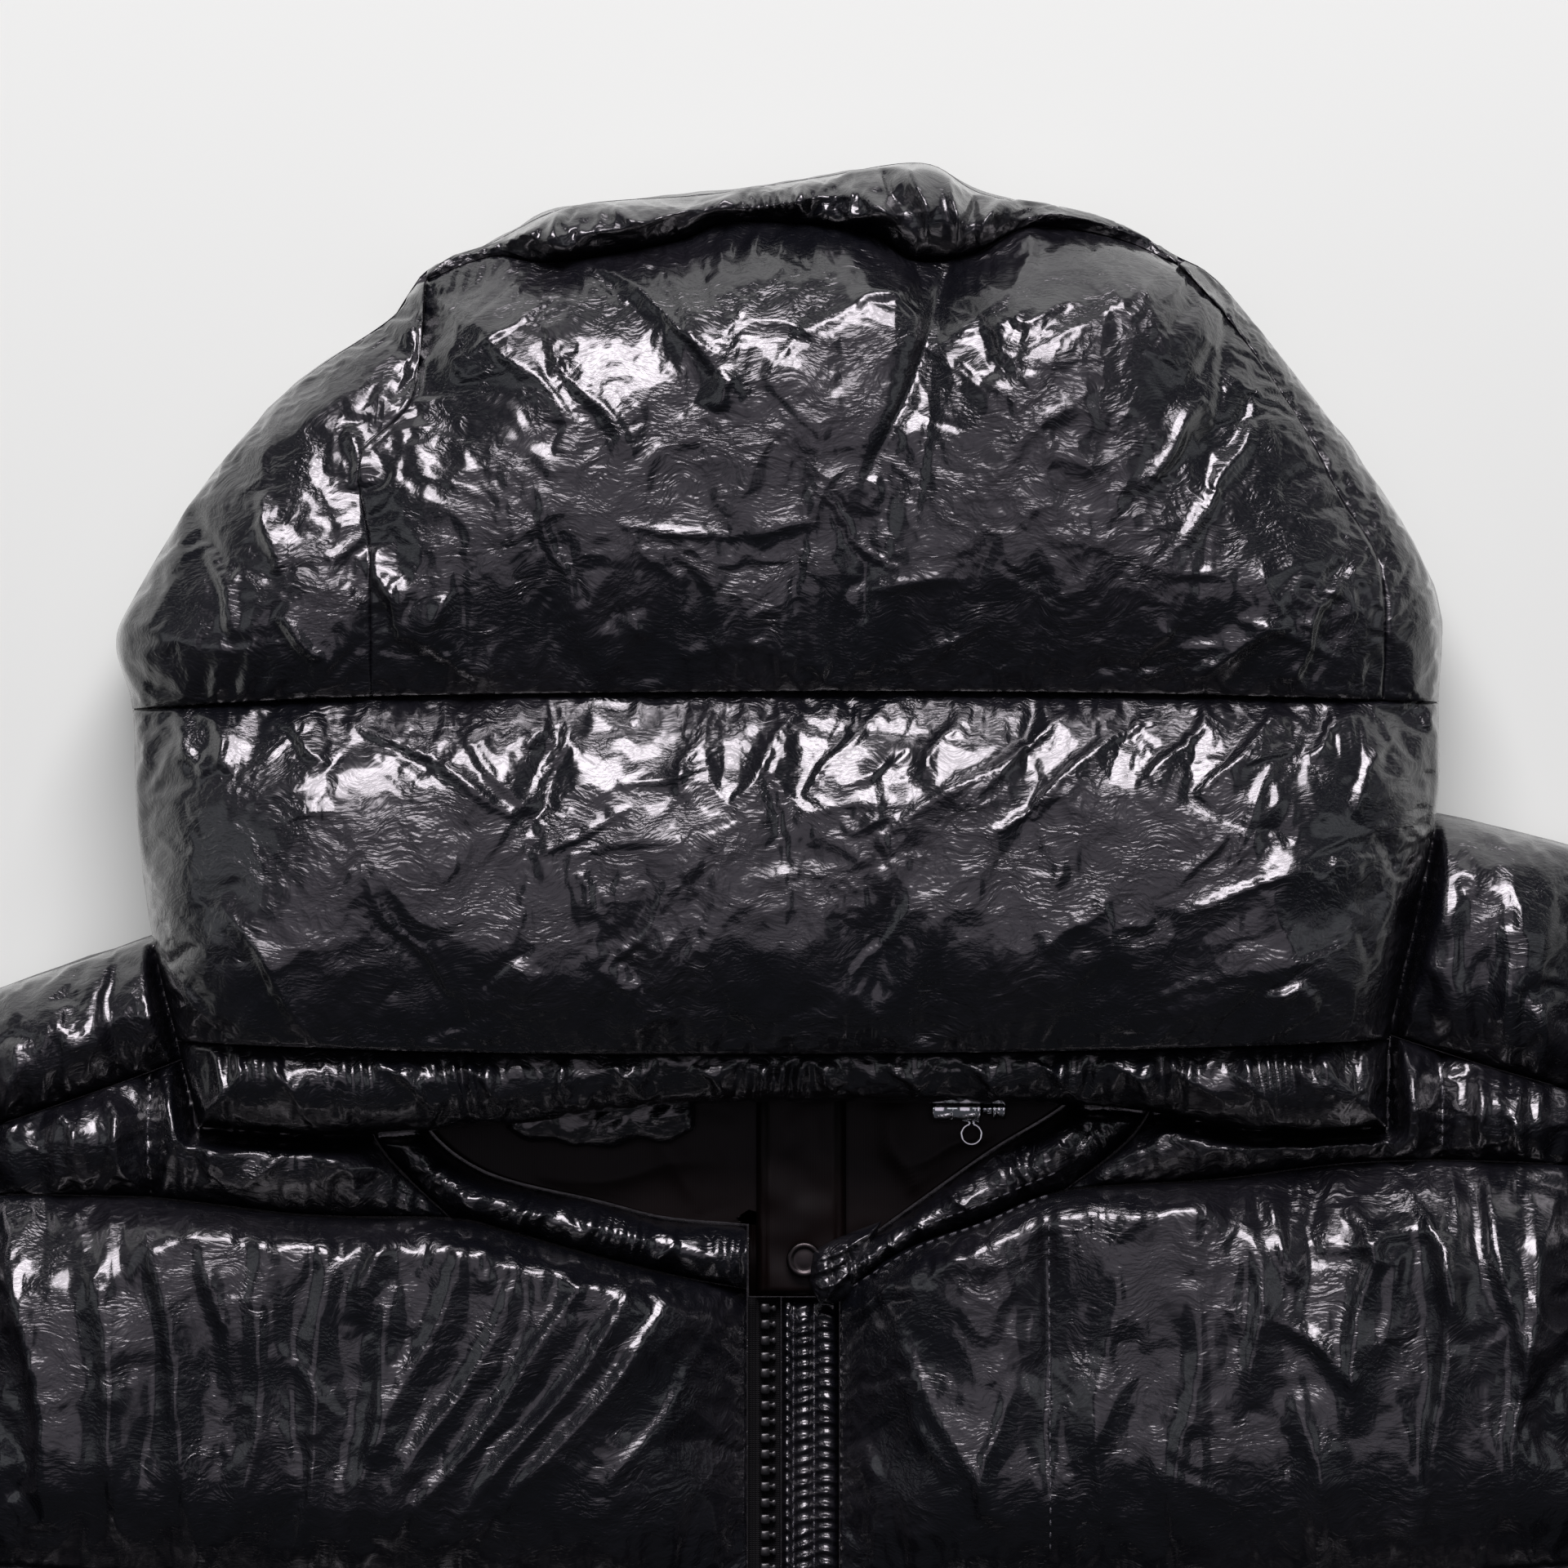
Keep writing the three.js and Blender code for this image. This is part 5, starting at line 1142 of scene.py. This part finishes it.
# Slider and pull tab: plated castings. The slider's body has two ears and a pin, and the tab's eye
# turns on the pin.
SLIDER = {"x": -4.4, "y": -684, "width": 7.8, "length": 11, "height": 5.5, "hinge": 2.5}
EAR = {"inner": 2.1, "outer": 3.3, "radius": 1.7, "rise": 2.2, "pin": 0.8}
PULL = {"half": 1.8, "eye": 1.8, "hole": 1.15, "length": 21, "thickness": 1.4, "tip": 5.2, "droop": 11.8}
SLIDER_BASE = PANEL_BASE + ZIP_TAPE + SEAM_GAP
HINGE_Y = SLIDER["y"] + SLIDER["length"] / 2 - SLIDER["hinge"]
HINGE_Z = SLIDER_BASE + SLIDER["height"] + EAR["rise"]


def plated(name, shade, roughness):
    made, shader, _, place = new_material(name)
    cloud, scratch = cloudy(place, 500.0, 3.0), cloudy(place, 2600.0, 1.0)
    feed(shader, {
        "Roughness": cloud * 0.12 + roughness,
        "Normal": raised(scratch * 0.000012 + cloud * 0.00002),
    }, {"Base Color": (*shade, 1), "Metallic": 1.0})
    return made


def tube(path, radii, sides, axis=None):
    """A closed bent form, or one turned on an axis: rings of the given radii along a path."""
    path = np.asarray(path, float)
    run = np.gradient(path, axis=0) if axis is None else np.tile(np.asarray(axis, float), (len(path), 1))
    run /= np.linalg.norm(run, axis=1)[:, None]
    guide = (0.0, 0.0, 1.0) if abs(run[0][2]) < 0.9 else (1.0, 0.0, 0.0)
    first = np.cross(run, guide)
    first /= np.linalg.norm(first, axis=1)[:, None]
    second = np.cross(run, first)
    turn = np.linspace(0, tau, sides, endpoint=False)
    rings = path[:, None] + np.array(radii)[:, None, None] * (
        first[:, None] * np.cos(turn)[None, :, None] + second[:, None] * np.sin(turn)[None, :, None])
    points = np.concatenate([rings.reshape(-1, 3), path[:1], path[-1:]])
    step = np.arange(sides)
    around = np.roll(step, -1)
    band = np.stack([step, step + sides, around + sides, around], -1)
    quads = [band + k * sides for k in range(len(path) - 1)]
    start, end = len(path) * sides, len(path) * sides + 1
    pairs = step[::2]
    last = (len(path) - 1) * sides
    fan = np.stack([pairs, around[::2], (pairs + 2) % sides], -1)
    quads.append(np.column_stack([fan, pairs * 0 + start]))
    quads.append(np.column_stack([fan[:, ::-1] + last, pairs * 0 + end]))
    return points, np.concatenate(quads), np.empty(0, int)


def moved(form, change):
    points, quads, cap = form
    return change(points), quads, cap


half, long = SLIDER["width"] / 2, SLIDER["length"] / 2
body = prism(np.array([
    (-half * 0.6, -long + 0.5), (-half * 0.5, -long), (half * 0.5, -long), (half * 0.6, -long + 0.5),
    (half, long * 0.24), (half, long - 1), (half - 1, long), (half * 0.3, long), (-half * 0.3, long),
    (-half + 1, long), (-half, long - 1), (-half, long * 0.24),
]) + (SLIDER["x"], SLIDER["y"]), SLIDER_BASE, SLIDER_BASE + SLIDER["height"], 0.6)
forms = [body]
for sign in (-1, 1):
    turn = np.linspace(0, pi, 11)
    profile = [(EAR["radius"] * np.cos(a), EAR["radius"] * np.sin(a)) for a in turn]
    profile += [(-EAR["radius"], -EAR["rise"] - 0.5), (EAR["radius"], -EAR["rise"] - 0.5)]
    ends = sorted((sign * EAR["inner"], sign * EAR["outer"]))
    plate = prism(profile + [(EAR["radius"], -0.5)], *ends, 0.15)
    forms.append(moved(plate, lambda q: np.stack([
        q[:, 2] + SLIDER["x"], q[:, 0] + HINGE_Y, q[:, 1] + HINGE_Z,
    ], -1)))
reach = EAR["outer"] - 0.1
pin = [(SLIDER["x"] + along, HINGE_Y, HINGE_Z) for along in (-reach, 0, reach)]
forms.append(tube(pin, [EAR["pin"]] * 3, 16))
dark_plate = plated("dark_plate", (0.035, 0.031, 0.031), 0.26)
fitted(solid("zip_slider", forms, dark_plate), "zip_slider")

EYE_SIDES = 32
droop = radians(PULL["droop"])
turn = np.linspace(0, tau, EYE_SIDES + 1)[:-1]
eye_rings = []
for x in (-PULL["half"], PULL["half"]):
    for radius in (PULL["hole"], PULL["eye"]):
        eye_rings.append(np.array([(x, radius * np.cos(a), radius * np.sin(a)) for a in turn]))
inner_low, outer_low, inner_high, outer_high = np.arange(4) * EYE_SIDES
step = np.arange(EYE_SIDES)
around = np.roll(step, -1)
quads = [np.stack([step + a, around + a, around + b, step + b], -1) for a, b in (
    (outer_low, outer_high), (outer_high, inner_high), (inner_high, inner_low), (inner_low, outer_low),
)]
eye = (np.concatenate(eye_rings), np.concatenate(quads)[:, ::-1], np.empty(0, int))
tip, width, end = PULL["tip"] / 2, PULL["half"], PULL["length"]
sweep = np.linspace(-0.28 * pi, 1.28 * pi, 18)
tongue = [(-width, PULL["eye"] - 0.4), (width, PULL["eye"] - 0.4)]
tongue += [(tip * np.cos(a), end + tip * np.sin(a)) for a in sweep]
paddle = prism(tongue, -PULL["thickness"] / 2, PULL["thickness"] / 2, 0.3)
rib = [(0.9 * np.cos(a), end - 8 + 4.5 * np.sin(a)) for a in turn]
rib = prism(rib, 0.5, PULL["thickness"] / 2 + 0.12, 0.1)


def hung(q):
    """The tab's own points, drooped from the pin."""
    y = q[:, 1] * np.cos(droop) + q[:, 2] * np.sin(droop)
    z = -q[:, 1] * np.sin(droop) + q[:, 2] * np.cos(droop)
    return np.stack([q[:, 0] + SLIDER["x"], y + HINGE_Y, z + HINGE_Z], -1)


pull = solid("zip_pull", [moved(form, hung) for form in (eye, paddle, rib)], dark_plate)
fitted(pull, "zip_pull", "pull_tab")


# Snap: a pressed cap of dark plated metal with a rolled rim, its post clenched through the chin guard.
SNAP_X, SNAP_Y, SNAP_BASE = 7.2, -140.4, GUARD_BASE + GUARD_LOFT + SEAM_GAP
SNAP_PROFILE = [
    (0.05, 0.0), (2.2, 0.0), (2.2, 0.5), (4.5, 0.5), (4.9, 0.65), (5.2, 0.95), (5.3, 1.35), (5.3, 1.7),
    (5.15, 2.15), (4.8, 2.5), (4.3, 2.6), (3.8, 2.5), (3.45, 2.2), (3.1, 2.05), (2.4, 2.15), (1.5, 2.3),
    (0.7, 2.38), (0.05, 2.4),
]
snap = solid("snap_button", [tube(
    [(SNAP_X, SNAP_Y, SNAP_BASE + z) for _, z in SNAP_PROFILE], [r for r, _ in SNAP_PROFILE], 48, (0, 0, 1),
)], dark_plate)
fitted(snap, "snap_button")


# Cord lock: turned and polished metal. A barrel with a flange takes a spring plunger with a waisted
# knob, and a small open ring is cast on its side.
LOCK_X, LOCK_Y = 44.9, -95.9
LOCK_R, LOCK_LONG, FLANGE_R, FLANGE_WIDE = 3.95, 13.2, 4.15, 1.1
BORE_R, BORE_DEEP = 2.25, 7.5
LOCK_Z = PANEL_BASE + LINING_THICKNESS + SEAM_GAP + FLANGE_R
LOCK_END = LOCK_LONG + FLANGE_WIDE
RING_X, RING_R, RING_WIRE = 56.6, 2.95, 0.4
RING_START, RING_TURN = 68, 316


def turned(profile):
    return tube([(LOCK_X + x, LOCK_Y, LOCK_Z) for x, _ in profile], [r for _, r in profile], 48, (1, 0, 0))


chrome = plated("polished_chrome", (0.9, 0.91, 0.93), 0.03)
barrel = solid("cord_lock_barrel", [turned([
    (0, 0.05), (0, 3.2), (0.25, 3.65), (0.7, 3.9), (1.2, LOCK_R), (5.9, LOCK_R), (6.0, 3.8), (6.3, 3.8),
    (6.4, LOCK_R), (12.2, LOCK_R), (12.5, 3.7), (13.0, 3.7), (LOCK_LONG, FLANGE_R - 0.15), (13.4, FLANGE_R),
    (14.1, FLANGE_R), (LOCK_END, FLANGE_R - 0.2), (LOCK_END, BORE_R), (LOCK_END - BORE_DEEP, BORE_R),
    (LOCK_END - BORE_DEEP, 0.05),
])], chrome)
fitted(barrel, "cord_lock_barrel")
plunger = solid("cord_lock_plunger", [turned([(LOCK_END + x, r) for x, r in (
    (-2.5, 0.05), (-2.5, 1.95), (3.2, 1.95), (3.4, 2.2), (3.6, 2.9), (3.9, 3.3), (4.5, 3.3), (4.8, 2.9),
    (5.5, 2.8), (6.2, 3.0), (6.6, 3.25), (7.1, 3.25), (7.45, 2.9), (7.6, 2.2), (7.6, 0.05),
)])], chrome)
fitted(plunger, "cord_lock_plunger", "plunger")
ring_y = LOCK_Y - LOCK_R - SEAM_GAP - RING_R - RING_WIRE
foot_y = LOCK_Y - LOCK_R + 0.2 - ring_y
bend = [(0.9, foot_y), (0.55, RING_R + 0.35), (0.75, RING_R - 0.15)]
for a in np.linspace(radians(RING_START), radians(RING_START - RING_TURN), 40):
    bend.append((RING_R * np.cos(a), RING_R * np.sin(a)))
bend += [(-0.75, RING_R - 0.15), (-0.55, RING_R + 0.35), (-0.9, foot_y)]
ring = solid("cord_lock_ring", [tube(
    [(RING_X + x, ring_y + y, LOCK_Z) for x, y in bend], [RING_WIRE] * len(bend), 12,
)], chrome)
fitted(ring, "cord_lock_ring")


# Hood back: the lower layer of the folded hood, from the neckline to the fold at its top, where it
# turns over to the deep gathered seam that joins it to the crown.
HOOD_BASE = HOOD_PLANE + SEAM_GAP
HOOD_LOFT = 45
FOLD_LOFT = 25
SEAM_A = [
    [-104, 148], [-85, 155], [-66, 153], [-31, 159], [-13, 165], [23, 162], [39, 153.5],
    [56, 155], [74, 163.5], [100, 160], [117, 152.5],
]
TOP_FOLDS = [
    (-84, 168, -60, 154, 5, 3.5), (-66, 172, -66, 155, 4, 4), (-50, 172, -40, 158, 5, 3),
    (-14, 176, -18, 163, 5, 3), (8, 180, 2, 164, 5, 3), (38, 184, 44, 158, 5, 5),
    (50, 182, 52, 156, 4, 4.5), (66, 176, 58, 158, 5, 4), (82, 172, 76, 164, 5, 3.5),
    (100, 168, 104, 160, 5, 3), (-92, 160, -70, 163, 4, 3), (-58, 160, -24, 168, 3, 3.5),
    (-30, 163, -12, 171, 3, 3), (-20, 168, 20, 172, 3, 2.5), (6, 165, 34, 166, 3, 3.5),
    (24, 172, 34, 164, 3, 3), (70, 166, 98, 165, 3, 3), (28, 182, 36, 168, 3, -3),
    (58, 178, 54, 160, 3, -4),
]

foot_left = share_near(hood_top, -185.5, -43)
peak_left = share_near(hood_top, -142.8, 117.6)
peak_right = share_near(hood_top, 130.8, 146.4)
foot_right = share_near(hood_top, 193.7, -7.2)
neck_ends = [share_near(back_top, *at(hood_top, foot)) for foot in (foot_left, foot_right)]
neck = aside(stretch(back_top, *neck_ends), 0.6)
left, right = stretch(hood_top, foot_left, peak_left), stretch(hood_top, foot_right, peak_right)
s = np.linspace(0, 1, LINE_STEPS + 1)[:, None]
left = left + (neck[0] - left[0]) * (1 - s) ** 3
right = right + (neck[-1] - right[0]) * (1 - s) ** 3
us, vs = even(380, 3), even(200, 4)
p = patch(neck, stretch(hood_top, peak_left, peak_right), left, right, us, vs)


def folded_side(bulge):
    """The folded hood's lower wall: it stands out and crumples, as an inset of its rim."""
    def inset(edge):
        x, y = edge[:, 0], edge[:, 1]
        return bulge + 1.3 * noise(x, y, 26, 140) + 0.5 * noise(x, y, 9, 141)
    return inset


lower = shell(level(p, HOOD_PLANE), [
    (folded_side(0.6), 35.5), (folded_side(-0.4), 31), (folded_side(-0.7), 25), (folded_side(0.2), 18),
    (folded_side(2), 11.5), (folded_side(5), 6), (folded_side(8), 2), (12, 0),
])

seam_a = smooth(SEAM_A)
bottom = aside(seam_a, HALF_GAP)
top = aside(stretch(hood_top, share_near(hood_top, -104.4, 151.2), share_near(hood_top, 117, 155.6)), -0.3)
us, vs = even(240, 1.3), even(20, 1.3)
p = patch(bottom, top, spread([bottom[0], top[0]]), spread([bottom[-1], top[-1]]), us, vs)
x, y = p[..., 0], p[..., 1]
below, above, *_ = reaches(p, us, vs)
z = HOOD_BASE + EDGE_RIM + FOLD_LOFT * rounded(above, 18) * held(below, 0.62, 12)
grid = finer(inflate(np.dstack([p, z]), border(*z.shape), np.full(z.shape, 0.5), cap=3.5))
x, y = grid[..., 0], grid[..., 1]
deep = np.linalg.norm(grid[-1, :, :2] - grid[0, :, :2], axis=-1)[None]
below = np.linspace(0, 1, len(grid))[:, None] * deep
above = below[-1:] - below
near = np.clip(np.minimum(below, above) / 3, 0, 1)
rise = gathers(below, x, 6.5, 3.4, 12) + 1.5 * creases(x, y, TOP_FOLDS)
rise = rise + 1.3 * crumple(x, y, 150) + strewn(x, y, 151, 110, 75, 30, 1.6)
grid[..., 2] += near * np.clip(rise, -7, 7)
fold = shell(grid, [(0, HOOD_PLANE - 4)])
fitted(solid("hood_back", [lower, fold], shell_nylon), "hood_back")


# Hood, upper layer: crown, two side panels, front panel and brim, padded and seamed together. Folded
# forward, they share one rounded form that every seam pulls down and gathers.
BRIM_SEAM = [[-177.3, -75.5], [-90, -78.5], [0, -79], [90, -78], [179.5, -75]]
SEAM_B = [[-190.6, 22], [-120, 25.5], [0, 27], [100, 26.5], [194, 24]]
SIDE_SEAM_LEFT = [[-119.7, 25.6], [-119.5, 67], [-122.5, 95], [-107.5, 113], [-104, 148]]
SIDE_SEAM_RIGHT = [[176.4, 24.6], [176, 62], [164, 84], [152, 107], [134, 133], [117, 152.5]]
HOOD_FOLDS = [
    (-61, 156, -18, 125, 8, 4.5), (-70, 132, -44, 96, 9, 3.5), (-88, 134, -60, 104, 8, 3),
    (-34, 148, -14, 112, 9, 3), (-2, 152, -22, 112, 12, 3), (28, 148, -4, 118, 10, 3),
    (51, 152, 26, 88, 6, -5), (40, 146, 22, 140, 6, 3.5), (58, 150, 66, 112, 8, 1.6),
    (74, 160, 66, 128, 6, 1.6), (84, 158, 108, 132, 7, 2), (96, 156, 118, 120, 8, 2),
    (106, 86, 123, 111, 5, 3.5), (118, 70, 132, 96, 6, 2.5), (140, 110, 128, 84, 6, 2.5),
    (119, 31, 147, 46, 5, 4), (104, 34, 118, 52, 6, 2.5), (150, 30, 158, 52, 5, 3),
    (-119, 67, -110, 43, 5, 4), (-110, 43, -83, 29, 6, 3.5), (-125, 104, -123, 87, 4, 3.5),
    (-152, 84, -147, 62, 5, 4), (-147, 48, -131, 34, 5, 4), (-168, 70, -158, 44, 6, 3),
    (-106, 150, -107, 114, 4, -3.5), (-98, 142, -92, 118, 7, 3), (-40, 68, 4, 60, 12, -2),
    (10, 84, 34, 60, 8, 2), (-70, 84, -60, 50, 8, 2), (-30, 40, 14, 36, 10, 2),
    (60, 60, 92, 48, 9, 2), (126, 134, 52, 143, 46, 9),
    (-178, 18, -168, 2, 6, 3.5), (-168, 22, -160, 4, 5, 4),
    (-148, 20, -132, 6, 6, 4), (-124, 20, -78, -8, 6, 4), (-96, 18, -70, -12, 6, 2.5),
    (-60, 20, -72, -6, 6, 2), (-22, 20, -30, -2, 7, 2.5), (6, 22, -14, -6, 7, 3),
    (28, 22, 8, -2, 6, 2.5), (54, 22, 40, 2, 6, 2.5), (84, 20, 30, -16, 6, 3.5),
    (112, 24, 62, -14, 6, 4), (128, 24, 104, -2, 5, 3.5), (146, 22, 122, -4, 5, 4),
    (168, 22, 154, 8, 5, 3.5), (180, 18, 166, -8, 6, 3), (174, -20, 116, -36, 6, 3.5),
    (156, -61, 141, -61, 4, 3.5), (166, -46, 112, -62, 8, 2.5), (-161, -35, -133, -78, 6, 3),
    (-178, -54, -165, -71, 4, 3), (-120, -30, -96, -60, 8, 2), (-30, -30, -50, -56, 9, 2),
    (40, -32, 20, -60, 9, 2), (-4, -10, -60, -22, 10, 2),
]
BRIM_FOLDS = [
    (-150, -80, -138, -98, 4, 3), (-118, -80, -100, -95, 4, 3.5), (-92, -82, -80, -95, 4, 3),
    (-66, -80, -62, -96, 4, 3), (-50, -80, -40, -93, 4, 3), (-24, -82, -16, -92, 4, 3),
    (-6, -80, -6, -93, 3, 4), (8, -80, 16, -90, 4, 3), (30, -80, 40, -90, 4, 3),
    (52, -80, 66, -92, 4, 4), (72, -80, 92, -94, 4, 4.5), (96, -80, 112, -94, 4, 4),
    (112, -80, 130, -94, 4, 3.5), (132, -82, 146, -98, 4, 3), (150, -82, 166, -94, 4, 2.5),
]


def hood_height(x, y):
    """The folded hood's rounded form, blunter towards the brim than at its top."""
    blunt = 1 + 1.1 * np.clip(-y / 60, 0, 1)
    return HOOD_LOFT * rounded(outline_inset(hood_outline, x, y) * blunt, 78)


def hood_panel(lines, size, holds, step, gather, folds, seed, cap):
    """A panel of the hood over a patch. Holds says how far the seams at its bottom, top, left and
    right pull it down."""
    us, vs = even(size[0], step), even(size[1], step)
    p = patch(*lines, us, vs)
    x, y = p[..., 0], p[..., 1]
    below, above, from_left, from_right = reaches(p, us, vs)
    low, high, left_hold, right_hold = holds
    hold = held(below, low, 34) * held(above, high, 34, 0.75 if high < 0.45 else 1)
    hold = hold * held(from_left, left_hold, 22) * held(from_right, right_hold, 22)
    near = np.minimum(below if low else 1e3 + below, above if high else 1e3 + above)
    loft = hood_height(x, y)
    grown = np.minimum(loft / 20, 1) * held(near, 1, 7)
    detail = gathers(near, x, *gather) + gathers(near, x + 90, 5.5, 0.7, 6) + creases(x, y, folds)
    z = HOOD_BASE + EDGE_RIM + np.maximum(0, loft * hold + detail * grown)
    slack = 0.12 + 0.5 * np.exp(-near / 20)
    grid = finer(inflate(np.dstack([p, z]), border(*z.shape), slack, cap=cap))
    x, y = grid[..., 0], grid[..., 1]
    rim = np.clip(hood_height(x, y) / 14, 0, 1) * (1 - 0.45 * np.clip((-105 - x) / 15, 0, 1))
    rise = crumple(x, y, seed) + strewn(x, y, seed + 1, int(np.prod(size) / 130), 35, 38)
    grid[..., 2] = np.maximum(grid[..., 2] + rise * rim, HOOD_BASE + 0.5)
    return shell(grid, [(0, HOOD_BASE)])


def closed(bottom, top, left, right):
    """Four lines brought to common corners."""
    return bottom, top, trimmed(left, bottom[0], top[0]), trimmed(right, bottom[-1], top[-1])


seam_b, brim_seam = smooth(SEAM_B), smooth(BRIM_SEAM)
side_seam_left, side_seam_right = smooth(SIDE_SEAM_LEFT), smooth(SIDE_SEAM_RIGHT)
b_left, b_right = share_near(seam_b, *SIDE_SEAM_LEFT[0]), share_near(seam_b, *SIDE_SEAM_RIGHT[0])
low_left, high_left = share_near(hood_top, -190.6, 22), share_near(hood_top, -104.4, 151.2)
low_right, high_right = share_near(hood_top, 194, 24), share_near(hood_top, 117, 155.6)
brim_left, brim_right = share_near(hood_top, -177.3, -75.5), share_near(hood_top, 179.5, -75)

MEET = 0.04
HOOD_PANELS = {
    "hood_crown": (closed(
        aside(stretch(seam_b, b_left, b_right), HALF_GAP), aside(seam_a, -HALF_GAP),
        aside(side_seam_left, -MEET), aside(side_seam_right, MEET),
    ), (290, 134), (0.27, 0.5, 0.06, 0.06), 1.7, (12, 1.6, 13), HOOD_FOLDS, 200, 6),
    "hood_side_left": (closed(
        aside(stretch(seam_b, 0, b_left), HALF_GAP), spread([[-107, 147.2], [-104.5, 147.6]]),
        stretch(hood_top, low_left, high_left - 0.003), aside(side_seam_left, MEET),
    ), (72, 130), (0.27, 0, 0, 0.06), 2.0, (12, 2.0, 13), HOOD_FOLDS, 210, 4),
    "hood_side_right": (closed(
        aside(stretch(seam_b, b_right, 1), HALF_GAP), spread([[117.4, 152.6], [119, 153.6]]),
        aside(side_seam_right, -MEET), stretch(hood_top, high_right + 0.003, low_right)[::-1],
    ), (18, 150), (0.27, 0, 0.06, 0), 1.5, (12, 2.0, 13), HOOD_FOLDS, 220, 2),
    "hood_front": (closed(
        aside(brim_seam, HALF_GAP), aside(seam_b, -HALF_GAP),
        stretch(hood_top, brim_left, low_left), stretch(hood_top, low_right, brim_right)[::-1],
    ), (380, 104), (0.2, 0.36, 0, 0), 1.7, (16, 1.0, 12), HOOD_FOLDS, 230, 6),
    "hood_brim": (closed(
        smooth(BRIM_EDGE), aside(brim_seam, -HALF_GAP),
        stretch(hood_top, 0, brim_left), stretch(hood_top, brim_right, 1)[::-1],
    ), (355, 23), (0, 0.4, 0, 0), 1.5, (7, 3.4, 12), BRIM_FOLDS, 240, 3),
}
FACING_LEFT, FACING_LONG, FACING_TOP = -81, 56, -91
us, vs = even(FACING_LONG, 0.8), even(15, 0.8)
x = FACING_LEFT + FACING_LONG * us[None] + 0 * vs[:, None]
sag = 0.9 + 0.5 * noise(us * FACING_LONG, us * 0, 11, 260)
low_edge = -101.5 - 6.5 * np.sin(pi * us) ** 0.6 * sag
y = low_edge[None] + (FACING_TOP - low_edge[None]) * vs[:, None]
edge = np.minimum(np.minimum(us, 1 - us)[None] * FACING_LONG, vs[:, None] * 14)
z = 31.5 + 4.5 * rounded(edge, 7) + 1.4 * crumple(x, y, 261) * np.clip(edge / 3, 0, 1)
z = z + np.clip(edge / 2, 0, 1) * strewn(x, y, 262, 30, 60, 35, 1.6)
facing = shell(np.dstack([x, y, np.clip(z, 31, HOOD_PLANE)]), [(0, 30.5)])

for name, making in HOOD_PANELS.items():
    forms = [hood_panel(*making)] + ([facing] if name == "hood_brim" else [])
    fitted(solid(name, forms, shell_nylon), name)


# Sewing: dark grey thread in a running stitch down in every seam. A stitch is a short bead of thread
# that dips into the cloth at both ends.
STITCH_PITCH = 3.6
STITCH_LONG = 2.5
THREAD = 0.32
STITCH_SHARES = np.array([0, 0.2, 0.5, 0.8, 1])
STITCH_RISES = np.array([-0.45, 0, 0.12, 0, -0.45])
STITCH_RADII = np.array([0.5, 1, 1.05, 1, 0.5]) * THREAD
SIGHT_HEIGHT = 0.2
rows_of_stitches = {
    "brim_seam": brim_seam, "long_seam": seam_b,
    "yoke_seam_left": first_line["left"], "yoke_seam_right": first_line["right"],
    "shoulder_seam_left": smooth(SHOULDER_SEAM_LEFT), "shoulder_seam_right": smooth(SHOULDER_SEAM_RIGHT),
    "quilt_seam": spread([[QUILT_X, -128], [QUILT_X + 0.6, -228]]),
    "yoke_piecing_left": spread([[-186, -88], [-186, -119]]),
    "yoke_piecing_right": spread([[195, -82], [195, -108]]),
    "placket_groove_left": spread([[GROOVES[0], OPENING_TOP - 4], [GROOVES[0], HEM_Y + 6]]),
    "placket_groove_right": spread([[GROOVES[1], OPENING_TOP - 4], [GROOVES[1], HEM_Y + 6]]),
    "collar_line": spread([[23, -141.5], [40, -131], [60, -123.5], [82, -114]]),
}
for side in ("left", "right"):
    for k, line in enumerate(front_seams[side][1:-1]):
        rows_of_stitches[f"channel_{side}_{k}"] = line

bpy.context.view_layer.update()
sight = bpy.context.evaluated_depsgraph_get()
stitches = []
for name, line in rows_of_stitches.items():
    length = np.linalg.norm(np.diff(line, axis=0), axis=1).sum()
    for k in range(int(length / STITCH_PITCH)):
        start = (k + 0.15) * STITCH_PITCH / length
        ends = at(line, np.array([start, start + STITCH_LONG / length]))
        middle = ends.mean(0)
        if name not in ("brim_seam", "long_seam") and outline_inset(hood_outline, *middle[:, None])[0] > -3:
            continue
        from_above = Vector((middle[0] / 1000, (middle[1] + NAPE_TO_MIDDLE) / 1000, SIGHT_HEIGHT))
        hit, spot, *_ = bpy.context.scene.ray_cast(sight, from_above, Vector((0, 0, -1)))
        if not hit or spot.z < PANEL_BASE / 1000:
            continue
        path = ends[0] + (ends[1] - ends[0]) * STITCH_SHARES[:, None]
        path = np.column_stack([path, spot.z * 1000 + 0.1 + STITCH_RISES])
        stitches.append(tube(path, STITCH_RADII, 4))


def twisted_thread(name):
    made, shader, wire, place = new_material(name)
    ply = wire.node("ShaderNodeTexWave", {"bands_direction": "DIAGONAL"}, {
        "Vector": place, "Scale": 900.0,
    }, "Fac")
    feed(shader, {
        "Base Color": blended(ply, (0.02, 0.02, 0.024), (0.07, 0.07, 0.08)),
        "Roughness": ply * 0.1 + 0.4,
        "Normal": raised(ply * 0.00008),
    }, {})
    return made


sewing = solid("stitching", stitches, twisted_thread("dark_thread"))
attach(sewing, "jacket")
